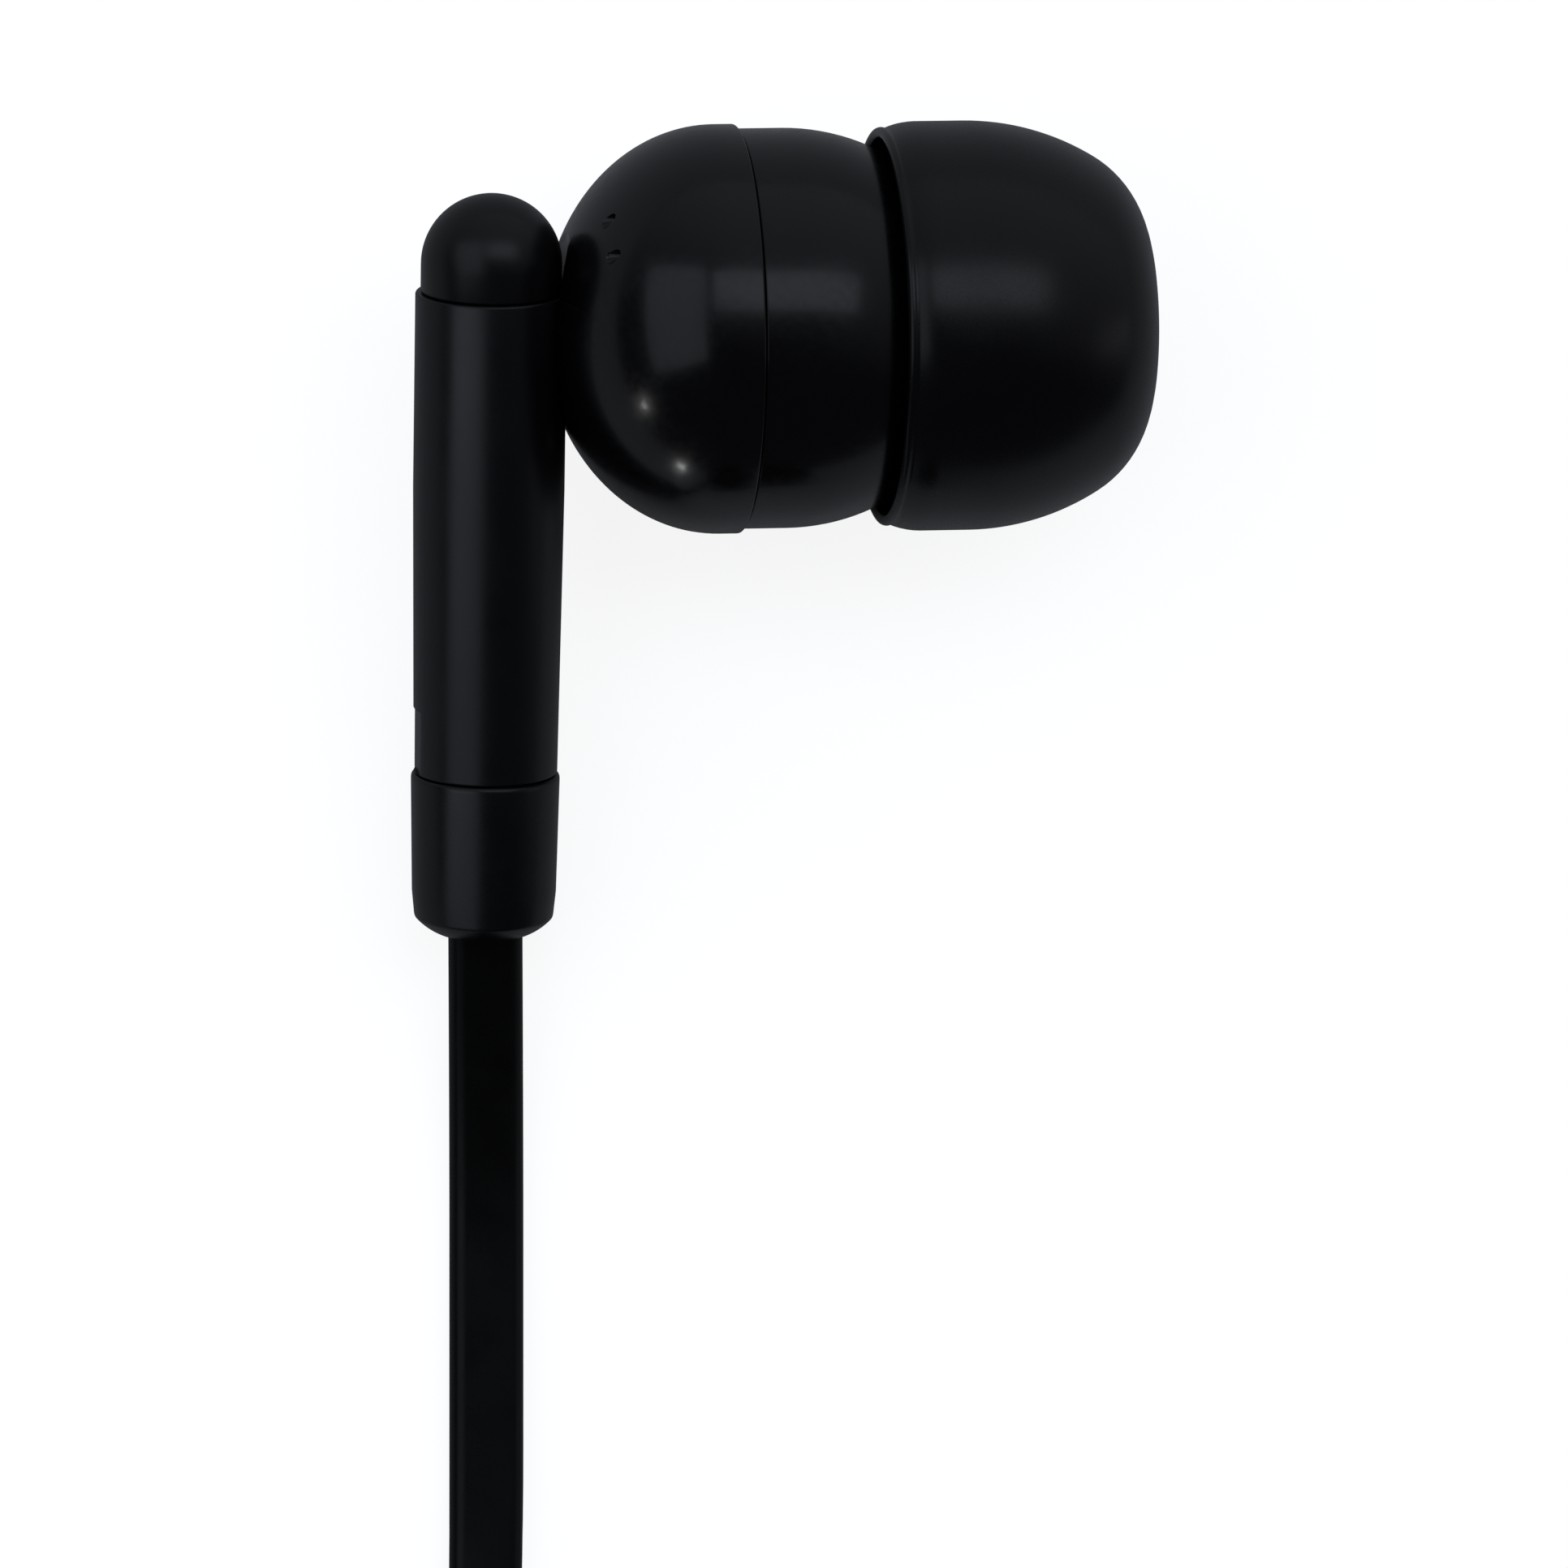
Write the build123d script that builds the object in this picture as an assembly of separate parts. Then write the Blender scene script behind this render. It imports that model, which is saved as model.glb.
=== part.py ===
from build123d import *
import math
import os

# Wired earphones: two in-ear pieces on a flat Y cord that ends in a 3.5 mm stereo plug.
# Row frame: the pair lies on a table at z = 0, the spare cord is a tied hank at the middle.
# Left earpiece at +Y, right earpiece at -Y; the right one is the left one turned half a turn about Z.
# Earpiece frame: +X along the housing to the ear, +Y up the stem, both axes meeting at its origin.

# Housing, turned about the earpiece X axis
HOUSING_R = 6.24
HOUSING_WALL = 0.79
DOME_CENTRE_X = 6.93
DOME_DEPTH = 5.27
SEAM_X = 7.55
FRONT_R = 6.10
FRONT_STRAIGHT_END_X = 9.0
FRONT_EDGE_X = 11.9
FRONT_EDGE_R = 5.42
SPIGOT_START_X = 6.6
SPIGOT_GAP = 0.03
VENT_R = 0.18
VENT_ANGLES = (30.0, 48.0)
VENT_RING_R = 4.5

# Nozzle on the front shell
NOZZLE_ROOT_X = 13.3
NOZZLE_R = 2.45
NOZZLE_LIP_R = 2.75
NOZZLE_END_X = 18.3
NOZZLE_BORE_R = 1.75
SCREEN_SEAT_R = 2.05
SCREEN_SEAT_X = 17.9
SCREEN_T = 0.15
SOUND_CHAMBER_R = 4.0
SHOULDER_X = 9.9

# Silicone ear tip
TIP_R = 6.25
TIP_WALL = 0.5
TIP_REAR_X = 11.92
TIP_FRONT_X = 20.25
TIP_HOLE_R = 2.3
TIP_SLEEVE_BORE_R = 2.80
TIP_SLEEVE_R = 3.6
TIP_SLEEVE_REAR_X = 13.6

# Stem, turned about the earpiece Y axis
STEM_TOP_R = 2.31
STEM_LOW_R = 2.20
STEM_BORE_R = 1.5
STEM_TAPER_START_Y = -4.8
STEM_END_Y = -13.7
CAP_SEAM_Y = 1.27
CAP_R = 2.15
CAP_CENTRE_Y = 2.05
CAP_WALL = 0.8
MARK_RECESS_TOP_Y = -11.67
MARK_RECESS_DEPTH = 0.1
WIRE_PASSAGE_R = 1.0

# Strain relief boot at the foot of the stem
BOOT_R = 2.28
BOOT_LOW_R = 2.05
BOOT_EDGE_Y = -18.35
BOOT_END_Y = -18.87
BOOT_MOUTH_R = 1.15
BOOT_BORE_R = 0.6
BOOT_SPIGOT_TOP_Y = -12.2

# Dynamic driver, turned about the earpiece X axis
DRIVER_R = 5.0
FRAME_REAR_X = 7.0
FRAME_WEB_T = 0.6
FRAME_FRONT_X = 9.2
FRAME_RING_R = 4.5
LEDGE_R = 4.15
LEDGE_X = 8.2
YOKE_R = 3.4
YOKE_WALL = 0.5
YOKE_REAR_X = 5.6
YOKE_FRONT_X = 7.9
MAGNET_R = 2.2
POLE_R = 2.3
POLE_T = 0.6
POLE_VENT_R = 0.5
COIL_IN_R = 2.45
COIL_OUT_R = 2.75
COIL_REAR_X = 7.2
DIAPHRAGM_X = 8.3
DIAPHRAGM_T = 0.08
DIAPHRAGM_R = 3.2
DOME_CROWN_X = 8.95
SURROUND_IN_R = 3.28
SURROUND_OUT_R = 4.48
COVER_T = 0.25
GASKET_IN_R = 4.0
FRAME_VENTS = 6
FRAME_VENT_R = 0.35
FRAME_VENT_RING_R = 4.2
COVER_HOLES = 6
COVER_HOLE_R = 0.55
COVER_HOLE_RING_R = 2.6

# Wires inside an earpiece
WIRE_R = 0.18
WIRE_SPREAD = 0.3
CRIMP_R = 1.3
CRIMP_LENGTH = 1.2
BOARD_T = 0.4

# How an earpiece lies: rolled about its housing axis until the boot touches the table, then turned a little
ROLL = math.degrees(math.asin((TIP_R - BOOT_LOW_R) / -BOOT_EDGE_Y))
YAW = 1.1
STEM_X = -9.02
HOUSING_Y = 65.0
HOUSING_Z = TIP_R

# Flat cords: width by thickness
LEG_W = 2.3
LEG_T = 1.0
LEG_X = -8.44
MAIN_W = 2.8
MAIN_T = 1.1

# Tied hank, flat cords on edge in layers; half length of the straight sides and radii of the end loops
LEG_LOOP_R = 9.6
LEFT_LOOP_Y = 16.4
RIGHT_LOOP_Y = 12.4
MAIN_LOOP_Y = 15.9
MAIN_LOOP_R = 10.35
LOOP_BORE_R = 5.2
WAIST_PINCH = 3.7

# Splitter, on edge in the middle of the hank
SPLITTER_LENGTH = 14.0
SPLITTER_W = 5.6
SPLITTER_T = 2.9
SPLITTER_EDGE_R = 0.9
SPLITTER_CORE = (1.3, 9.0, 3.4)

# Tie round the waist of the hank and the plug's grip
TIE_W = 3.5
TIE_T = 0.6

# 3.5 mm plug, pointing to -Y on top of the hank
PLUG_X = -4.0
PLUG_R = 1.75
PLUG_FACE_Y = -6.0
PLUG_RING_GAPS = (5.9, 6.6, 8.9, 9.6)
PLUG_BARREL_END = 10.4
PLUG_LENGTH = 14.0
PLUG_TAIL = 4.0
PLUG_SEAT = 2.0
PLUG_SEAT_R = 1.5
PLUG_SLEEVE_BORE_R = 1.3
GRIP_R = 2.9
GRIP_LENGTH = 15.0
PLUG_CORE_R = 2.1
PLUG_RELIEF_LENGTH = 9.0
PLUG_RELIEF_R = 2.3
PLUG_RELIEF_END_R = 1.75

LAYER_1 = 0.0
LAYER_2 = LAYER_1 + LEG_W
LAYER_3 = LAYER_2 + LEG_W
HANK_TOP = LAYER_3 + 2 * MAIN_W
PLUG_Z = HANK_TOP + GRIP_R
SPLITTER_Z = TIE_T + SPLITTER_W / 2


def turned_x(outline):
    """Solid of revolution about X from a closed outline of (x, radius)."""
    return revolve(make_face(outline), axis=Axis.X)


def turned_y(outline):
    """Solid of revolution about Y from a closed outline of (radius, y)."""
    return revolve(make_face(outline), axis=Axis.Y)


def disc_x(radius, start, end, hole=0.0):
    """Disc or ring about X between two stations."""
    disc = Pos((start + end) / 2, 0, 0) * Rot(0, 90, 0) * Cylinder(radius, end - start)
    if hole:
        disc -= Pos((start + end) / 2, 0, 0) * Rot(0, 90, 0) * Cylinder(hole, 2 * (end - start))
    return disc


def ring_of_holes(count, ring_r, hole_r, start, end):
    """Cutters for evenly spaced holes along X on a circle about X."""
    cutters = []
    for step in range(count):
        angle = 2 * math.pi * step / count
        middle = Pos((start + end) / 2, ring_r * math.cos(angle), ring_r * math.sin(angle))
        cutters.append(middle * Rot(0, 90, 0) * Cylinder(hole_r, 2 * (end - start)))
    return cutters


def tube_y(outer, inner, start, end, x=0.0, z=0.0):
    """Straight tube along Y between two stations."""
    place = Pos(x, (start + end) / 2, z) * Rot(90, 0, 0)
    tube = place * Cylinder(outer, abs(end - start))
    if inner:
        tube -= place * Cylinder(inner, 2 * abs(end - start))
    return tube


def make_rear_shell():
    """Rear half of the housing: an elliptic dome, open to the front, cut to sit on the stem."""
    inner_r = HOUSING_R - HOUSING_WALL
    inner_depth = DOME_DEPTH - HOUSING_WALL
    centre = (DOME_CENTRE_X, 0)
    outline = EllipticalCenterArc(centre, DOME_DEPTH, HOUSING_R, start_angle=90, arc_size=90)
    outline += Line((DOME_CENTRE_X - DOME_DEPTH, 0), (DOME_CENTRE_X - inner_depth, 0))
    outline += EllipticalCenterArc(centre, inner_depth, inner_r, start_angle=90, arc_size=90)
    outline += Polyline(
        (DOME_CENTRE_X, inner_r), (SEAM_X, inner_r), (SEAM_X, HOUSING_R), (DOME_CENTRE_X, HOUSING_R)
    )
    shell = turned_x(outline)
    shell -= tube_y(STEM_TOP_R, 0, STEM_TAPER_START_Y, CAP_SEAM_Y)
    shell -= tube_y(STEM_TOP_R, 0, CAP_SEAM_Y, CAP_SEAM_Y + 2 * CAP_R)
    shell -= disc_x(WIRE_PASSAGE_R, 0, DOME_CENTRE_X - inner_depth + HOUSING_WALL)
    for angle in VENT_ANGLES:
        turn = math.radians(angle)
        middle = Pos(DOME_CENTRE_X - DOME_DEPTH / 2, VENT_RING_R * math.cos(turn), VENT_RING_R * math.sin(turn))
        shell -= middle * Rot(0, 90, 0) * Cylinder(VENT_R, DOME_DEPTH)
    return shell


def make_front_shell():
    """Front half of the housing with its spigot, sound chamber and lipped nozzle."""
    spigot_r = HOUSING_R - HOUSING_WALL - SPIGOT_GAP
    start = (FRONT_STRAIGHT_END_X, FRONT_R)
    edge = (FRONT_EDGE_X, FRONT_EDGE_R)
    outline = Polyline((SEAM_X, spigot_r), (SEAM_X, FRONT_R), start)
    outline += TangentArc(start, edge, tangent=(1, 0))
    outline += ThreePointArc(edge, (12.55, 4.95), (12.8, 4.2))
    outline += Polyline(
        (12.8, 4.2),
        (NOZZLE_ROOT_X, NOZZLE_R),
        (NOZZLE_END_X - 1.0, NOZZLE_R),
        (NOZZLE_END_X - 0.8, NOZZLE_LIP_R),
        (NOZZLE_END_X - 0.3, NOZZLE_LIP_R),
        (NOZZLE_END_X, NOZZLE_R),
        (NOZZLE_END_X, SCREEN_SEAT_R),
        (SCREEN_SEAT_X, SCREEN_SEAT_R),
        (SCREEN_SEAT_X, NOZZLE_BORE_R),
        (NOZZLE_ROOT_X - 1.0, NOZZLE_BORE_R),
        (NOZZLE_ROOT_X - 2.0, SOUND_CHAMBER_R),
        (SHOULDER_X, SOUND_CHAMBER_R),
        (SHOULDER_X, DRIVER_R),
        (SPIGOT_START_X, DRIVER_R),
        (SPIGOT_START_X, spigot_r),
        (SEAM_X, spigot_r),
    )
    return turned_x(outline)


def make_ear_tip():
    """Umbrella ear tip: soft skirt, front dome and the sleeve that pushes on the nozzle."""
    inner_r = TIP_R - TIP_WALL
    skirt_end = (14.6, TIP_R)
    dome_end = (18.57, 5.13)
    front = (TIP_FRONT_X, 2.75)
    rim_edge = (12.2, TIP_R - 0.2)
    outline = ThreePointArc((12.12, inner_r), (TIP_REAR_X, inner_r + 0.12), rim_edge)
    outline += ThreePointArc(rim_edge, (12.58, TIP_R - 0.07), (13.1, TIP_R))
    outline += Line((13.1, TIP_R), skirt_end)
    outline += TangentArc(skirt_end, dome_end, tangent=(1, 0))
    dome_angle = math.asin((dome_end[0] - skirt_end[0]) / 7.6)
    outline += TangentArc(dome_end, front, tangent=(math.cos(dome_angle), -math.sin(dome_angle)))
    outline += ThreePointArc(front, (TIP_FRONT_X - 0.06, 2.42), (TIP_FRONT_X - 0.35, TIP_HOLE_R))
    outline += Polyline(
        (TIP_FRONT_X - 0.35, TIP_HOLE_R),
        (TIP_FRONT_X - 1.0, TIP_HOLE_R),
        (TIP_FRONT_X - 1.0, TIP_SLEEVE_BORE_R),
        (TIP_SLEEVE_REAR_X, TIP_SLEEVE_BORE_R),
        (TIP_SLEEVE_REAR_X, TIP_SLEEVE_R),
        (17.4, TIP_SLEEVE_R),
    )
    outline += ThreePointArc((17.4, TIP_SLEEVE_R), (17.55, 4.4), (16.4, 5.3))
    outline += ThreePointArc((16.4, 5.3), (15.2, inner_r - 0.12), (14.0, inner_r))
    outline += Line((14.0, inner_r), (12.12, inner_r))
    return turned_x(outline)


def make_stem_shell():
    """Tapered stem tube with the wire passage to the housing and a shallow marking recess."""
    outline = Polyline(
        (STEM_BORE_R, CAP_SEAM_Y),
        (STEM_TOP_R, CAP_SEAM_Y),
        (STEM_TOP_R, STEM_TAPER_START_Y),
        (STEM_LOW_R, STEM_END_Y),
        (STEM_BORE_R, STEM_END_Y),
        close=True,
    )
    stem = turned_y(outline)
    stem -= disc_x(WIRE_PASSAGE_R, 0, 2 * STEM_TOP_R)
    recess_middle = (MARK_RECESS_TOP_Y + STEM_END_Y) / 2
    recess_length = MARK_RECESS_TOP_Y - STEM_END_Y
    recess_face = -STEM_LOW_R + MARK_RECESS_DEPTH
    stem -= Pos(recess_face - 1, recess_middle, 0) * Box(2, recess_length, 2 * STEM_TOP_R)
    return stem


def make_stem_cap():
    """Domed cap that closes the top of the stem, with a short plug into the bore."""
    inner_r = CAP_R - CAP_WALL
    cap = tube_y(CAP_R, 0, CAP_SEAM_Y, CAP_CENTRE_Y)
    cap += Pos(0, CAP_CENTRE_Y, 0) * Sphere(CAP_R)
    cap -= Pos(0, CAP_SEAM_Y - CAP_R, 0) * Box(3 * CAP_R, 2 * CAP_R, 3 * CAP_R)
    cap += tube_y(STEM_BORE_R, 0, CAP_SEAM_Y - 0.2, CAP_SEAM_Y + 0.2)
    cap -= tube_y(inner_r, 0, CAP_SEAM_Y - 1, CAP_CENTRE_Y)
    cap -= Pos(0, CAP_CENTRE_Y, 0) * Sphere(inner_r)
    return cap


def make_strain_relief():
    """Rubber boot that grips the cord at the foot of the stem, with a spigot up into it."""
    outline = Polyline(
        (BOOT_BORE_R, BOOT_SPIGOT_TOP_Y),
        (STEM_BORE_R, BOOT_SPIGOT_TOP_Y),
        (STEM_BORE_R, STEM_END_Y),
        (BOOT_R - 0.08, STEM_END_Y),
        (BOOT_R, STEM_END_Y - 0.1),
        (BOOT_R - 0.13, BOOT_EDGE_Y + 0.8),
        (BOOT_LOW_R, BOOT_EDGE_Y),
    )
    outline += ThreePointArc((BOOT_LOW_R, BOOT_EDGE_Y), (1.72, -18.65), (BOOT_MOUTH_R, BOOT_END_Y))
    outline += Polyline(
        (BOOT_MOUTH_R, BOOT_END_Y), (BOOT_BORE_R, BOOT_END_Y), (BOOT_BORE_R, BOOT_SPIGOT_TOP_Y)
    )
    return turned_y(outline)


def make_cord_crimp():
    """Metal ring crimped on the wires above the boot, so that a pull can't reach the driver."""
    return tube_y(CRIMP_R, BOOT_BORE_R, BOOT_SPIGOT_TOP_Y, BOOT_SPIGOT_TOP_Y + CRIMP_LENGTH)


def make_signal_wires():
    """Two insulated wires from the boot, up the stem and round to the terminal board."""
    wires = []
    for side in (-1, 1):
        z = side * WIRE_SPREAD
        path = FilletPolyline(
            (0, BOOT_END_Y + 1, z), (0, 0, z), (4.5, 0, z), (4.5, -4.0, z), (6.5, -4.0, z),
            radius=[0.9, 0.8, 0.7],
        )
        section = Plane(origin=path @ 0, z_dir=path % 0) * Circle(WIRE_R)
        wires.append(sweep(section, path=path))
    return Compound(children=[wire.solid() for wire in wires])


def make_terminal_board():
    """Small circuit board with two solder pads, stuck on the back of the driver."""
    board = Pos(FRAME_REAR_X - 0.1 - BOARD_T / 2, -4.15, 0) * Box(BOARD_T, 1.1, 2.2)
    for side in (-1, 1):
        board += Pos(FRAME_REAR_X - 0.1 - BOARD_T, -4.5, side * 0.75) * Box(0.1, 0.3, 0.4)
    return board


def make_driver_frame():
    """Plastic basket: vented web round the yoke, outer ring and the ledge for the diaphragm."""
    frame = turned_x(Polyline(
        (FRAME_REAR_X, YOKE_R),
        (FRAME_REAR_X, DRIVER_R),
        (FRAME_FRONT_X, DRIVER_R),
        (FRAME_FRONT_X, FRAME_RING_R),
        (LEDGE_X, FRAME_RING_R),
        (LEDGE_X, LEDGE_R),
        (FRAME_REAR_X + FRAME_WEB_T + 0.3, LEDGE_R),
        (FRAME_REAR_X + FRAME_WEB_T, LEDGE_R - 0.3),
        (FRAME_REAR_X + FRAME_WEB_T, YOKE_R),
        close=True,
    ))
    for cutter in ring_of_holes(
        FRAME_VENTS, (YOKE_R + LEDGE_R) / 2, FRAME_VENT_R * 0.8, FRAME_REAR_X, FRAME_REAR_X + FRAME_WEB_T
    ):
        frame -= cutter
    return frame


def make_yoke():
    """Steel cup that closes the magnet's field round the coil gap."""
    cup = disc_x(YOKE_R, YOKE_REAR_X, YOKE_FRONT_X)
    cup -= disc_x(YOKE_R - YOKE_WALL, YOKE_REAR_X + YOKE_WALL, YOKE_FRONT_X + 1)
    return cup - disc_x(POLE_VENT_R, YOKE_REAR_X - 1, YOKE_FRONT_X)


def dome_arc(crown_x, edge_x, edge_r):
    """Arc of a sphere centred on the X axis, from its crown to an edge of a given radius."""
    height = crown_x - edge_x
    radius = (height ** 2 + edge_r ** 2) / (2 * height)
    half = math.asin(edge_r / radius) / 2
    middle = (crown_x - radius + radius * math.cos(half), radius * math.sin(half))
    return ThreePointArc((crown_x, 0), middle, (edge_x, edge_r))


def make_diaphragm():
    """Thin domed film with a flat rim that the voice coil is glued to."""
    inner_crown = DOME_CROWN_X - DIAPHRAGM_T
    rim_front = DIAPHRAGM_X + DIAPHRAGM_T
    edge_r = COIL_OUT_R + 0.05
    outline = dome_arc(DOME_CROWN_X, rim_front, edge_r)
    outline += Polyline(
        (rim_front, edge_r), (rim_front, DIAPHRAGM_R), (DIAPHRAGM_X, DIAPHRAGM_R), (DIAPHRAGM_X, COIL_IN_R)
    )
    outline += dome_arc(inner_crown, DIAPHRAGM_X, COIL_IN_R)
    outline += Line((inner_crown, 0), (DOME_CROWN_X, 0))
    return turned_x(outline)


def make_surround():
    """Half-roll edge of the diaphragm, with the flat flange that sits on the frame's ledge."""
    roll_end = LEDGE_R + 0.05
    middle = (SURROUND_IN_R + roll_end) / 2
    low = LEDGE_X
    high = LEDGE_X + 0.1
    outline = ThreePointArc((low, SURROUND_IN_R), (low + 0.3, middle), (low, roll_end))
    outline += Polyline((low, roll_end), (low, SURROUND_OUT_R), (high, SURROUND_OUT_R), (high, roll_end))
    outline += ThreePointArc((high, roll_end), (high + 0.3, middle), (high, SURROUND_IN_R))
    outline += Line((high, SURROUND_IN_R), (low, SURROUND_IN_R))
    return turned_x(outline)


def make_driver_cover():
    """Perforated metal plate that guards the diaphragm."""
    cover = disc_x(DRIVER_R, FRAME_FRONT_X, FRAME_FRONT_X + COVER_T, hole=COVER_HOLE_R)
    for cutter in ring_of_holes(
        COVER_HOLES, COVER_HOLE_RING_R, COVER_HOLE_R, FRAME_FRONT_X, FRAME_FRONT_X + COVER_T
    ):
        cover -= cutter
    return cover


def make_earpiece():
    """Every piece of one earpiece, in the earpiece frame."""
    cover_front = FRAME_FRONT_X + COVER_T
    magnet_rear = YOKE_REAR_X + YOKE_WALL
    magnet_front = YOKE_FRONT_X - POLE_T
    return {
        "ear_tip": make_ear_tip(),
        "front_shell": make_front_shell(),
        "rear_shell": make_rear_shell(),
        "stem_shell": make_stem_shell(),
        "stem_cap": make_stem_cap(),
        "strain_relief": make_strain_relief(),
        "cord_crimp": make_cord_crimp(),
        "signal_wires": make_signal_wires(),
        "nozzle_mesh": disc_x(SCREEN_SEAT_R - 0.03, SCREEN_SEAT_X, SCREEN_SEAT_X + SCREEN_T),
        "acoustic_damper": disc_x(NOZZLE_BORE_R - 0.02, NOZZLE_ROOT_X + 0.7, NOZZLE_ROOT_X + 2.7),
        "seal_gasket": disc_x(DRIVER_R - 0.02, cover_front, SHOULDER_X, hole=GASKET_IN_R),
        "driver_cover": make_driver_cover(),
        "diaphragm": make_diaphragm(),
        "diaphragm_surround": make_surround(),
        "voice_coil": disc_x(COIL_OUT_R, COIL_REAR_X, DIAPHRAGM_X, hole=COIL_IN_R),
        "pole_plate": disc_x(POLE_R, magnet_front, YOKE_FRONT_X, hole=POLE_VENT_R),
        "magnet": disc_x(MAGNET_R, magnet_rear, magnet_front, hole=POLE_VENT_R),
        "yoke": make_yoke(),
        "driver_frame": make_driver_frame(),
        "damping_paper": disc_x(DRIVER_R - 0.05, FRAME_REAR_X - 0.1, FRAME_REAR_X, hole=YOKE_R + 0.05),
        "terminal_board": make_terminal_board(),
    }


def cord_exit():
    """Where the left cord leaves its boot, in the row frame."""
    roll = math.radians(ROLL)
    yaw = math.radians(YAW)
    reach = BOOT_END_Y * math.cos(roll)
    return (
        STEM_X - reach * math.sin(yaw),
        HOUSING_Y + reach * math.cos(yaw),
        HOUSING_Z + BOOT_END_Y * math.sin(roll),
    )


def arc_radii(points, width):
    """Radius for each corner of a cord's route: 0.45 of the shorter run over the tangent of half the turn."""
    radii = []
    for before, corner, after in zip(points, points[1:], points[2:]):
        run_in = Vector(*corner) - Vector(*before)
        run_out = Vector(*after) - Vector(*corner)
        half_turn = math.radians(run_in.get_angle(run_out)) / 2
        radii.append(0.45 * min(run_in.length, run_out.length) / math.tan(half_turn))
    print("cord radii in widths:", [round(radius / width, 1) for radius in radii])
    return radii


def flat_cord(points, width, thickness, flat):
    """Flat cord along a route of straight runs and tangent arcs, lying flat or standing on edge."""
    if len(points) > 2:
        path = FilletPolyline(*points, radius=arc_radii(points, width))
    else:
        path = Line(*points)
    across = Vector(0, 0, 1).cross(path % 0)
    along = (width, thickness) if flat else (thickness, width)
    section = RectangleRounded(along[0], along[1], thickness * 0.45)
    profile = Plane(origin=path @ 0, x_dir=across, z_dir=path % 0) * section
    cord = sweep(profile, path=path)
    expected = section.area * path.length
    print("cord length", round(path.length, 2), "volume ratio", round(cord.volume / expected, 4))
    return cord


def left_route():
    """Left cord from its boot, down to the table and along it to the hank."""
    start = cord_exit()
    landing_y = start[1] - (start[2] - LEG_T / 2) / math.tan(math.radians(ROLL))
    return [start, (LEG_X, landing_y, LEG_T / 2), (LEG_X, 17.0, LEG_T / 2)]


def right_route():
    """Right cord from its boot, down to the table, along it and up on to the second layer of the hank."""
    x, y, z = cord_exit()
    landing_y = y - (z - LEG_T / 2) / math.tan(math.radians(ROLL))
    return [
        (-x, -y, z),
        (-LEG_X, -landing_y, LEG_T / 2),
        (-LEG_X, -31.6, LEG_T / 2),
        (-LEG_X, -22.6, LAYER_2 + LEG_T / 2 + 0.2),
        (-LEG_X, -13.0, LAYER_2 + LEG_T / 2 + 0.2),
    ]


def loop_outline(loop_y, loop_r, pinch):
    """Closed waisted outline: two end arcs joined by sides that pull in at the middle."""
    outline = ThreePointArc((loop_r, loop_y), (0, loop_y + loop_r), (-loop_r, loop_y))
    outline += ThreePointArc((-loop_r, loop_y), (pinch - loop_r, 0), (-loop_r, -loop_y))
    outline += ThreePointArc((-loop_r, -loop_y), (0, -loop_y - loop_r), (loop_r, -loop_y))
    outline += ThreePointArc((loop_r, -loop_y), (loop_r - pinch, 0), (loop_r, loop_y))
    return make_face(outline)


def hank_layer(loop_y, loop_r, bottom, height):
    """One layer of the hank as a ring of its outer shape, open at its core."""
    ring = loop_outline(loop_y, loop_r, WAIST_PINCH) - loop_outline(loop_y, LOOP_BORE_R, WAIST_PINCH)
    return Pos(0, 0, bottom) * extrude(ring, height)


def tie_outline(margin):
    """Taut outline round the hank's waist and the plug's grip, a margin outside them, across Y."""
    half_waist = MAIN_LOOP_R - WAIST_PINCH + margin
    low = TIE_T - margin
    high = HANK_TOP + margin
    waist = Pos(0, (low + high) / 2) * Rectangle(2 * half_waist, high - low)
    grip = Pos(PLUG_X, PLUG_Z) * Circle(GRIP_R + margin)
    return make_hull((waist + grip).edges())


def make_hank_tie():
    """Flat band round the waist of the hank and the grip, with its two ends twisted together at one side."""
    section = Plane.XZ * (tie_outline(TIE_T) - tie_outline(0.05))
    band = extrude(section, TIE_W / 2, both=True)
    side = MAIN_LOOP_R - WAIST_PINCH + TIE_T
    tail = Pos(side + 0.5, 0, HANK_TOP / 2 + 1.5) * Box(1.0, 1.4, 6.0)
    return band + tail


def make_splitter_half(side):
    """One moulded half of the Y splitter, hollow for the soldered joint."""
    body = Box(SPLITTER_T, SPLITTER_LENGTH, SPLITTER_W)
    body = fillet(body.edges().filter_by(Axis.Y), SPLITTER_EDGE_R)
    body -= Box(*SPLITTER_CORE)
    keep = Pos(side * SPLITTER_T / 2, 0, 0) * Box(SPLITTER_T, 2 * SPLITTER_LENGTH, 2 * SPLITTER_W)
    return Pos(0, 0, SPLITTER_Z) * (body & keep)


def plug_station(distance):
    """Y station of a distance along the plug's pin from the face of the grip."""
    return PLUG_FACE_Y - distance


def plug_tube(outer, inner, start, end):
    """Tube on the plug's axis between two distances from the face of the grip."""
    return tube_y(outer, inner, plug_station(start), plug_station(end), x=PLUG_X, z=PLUG_Z)


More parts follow.
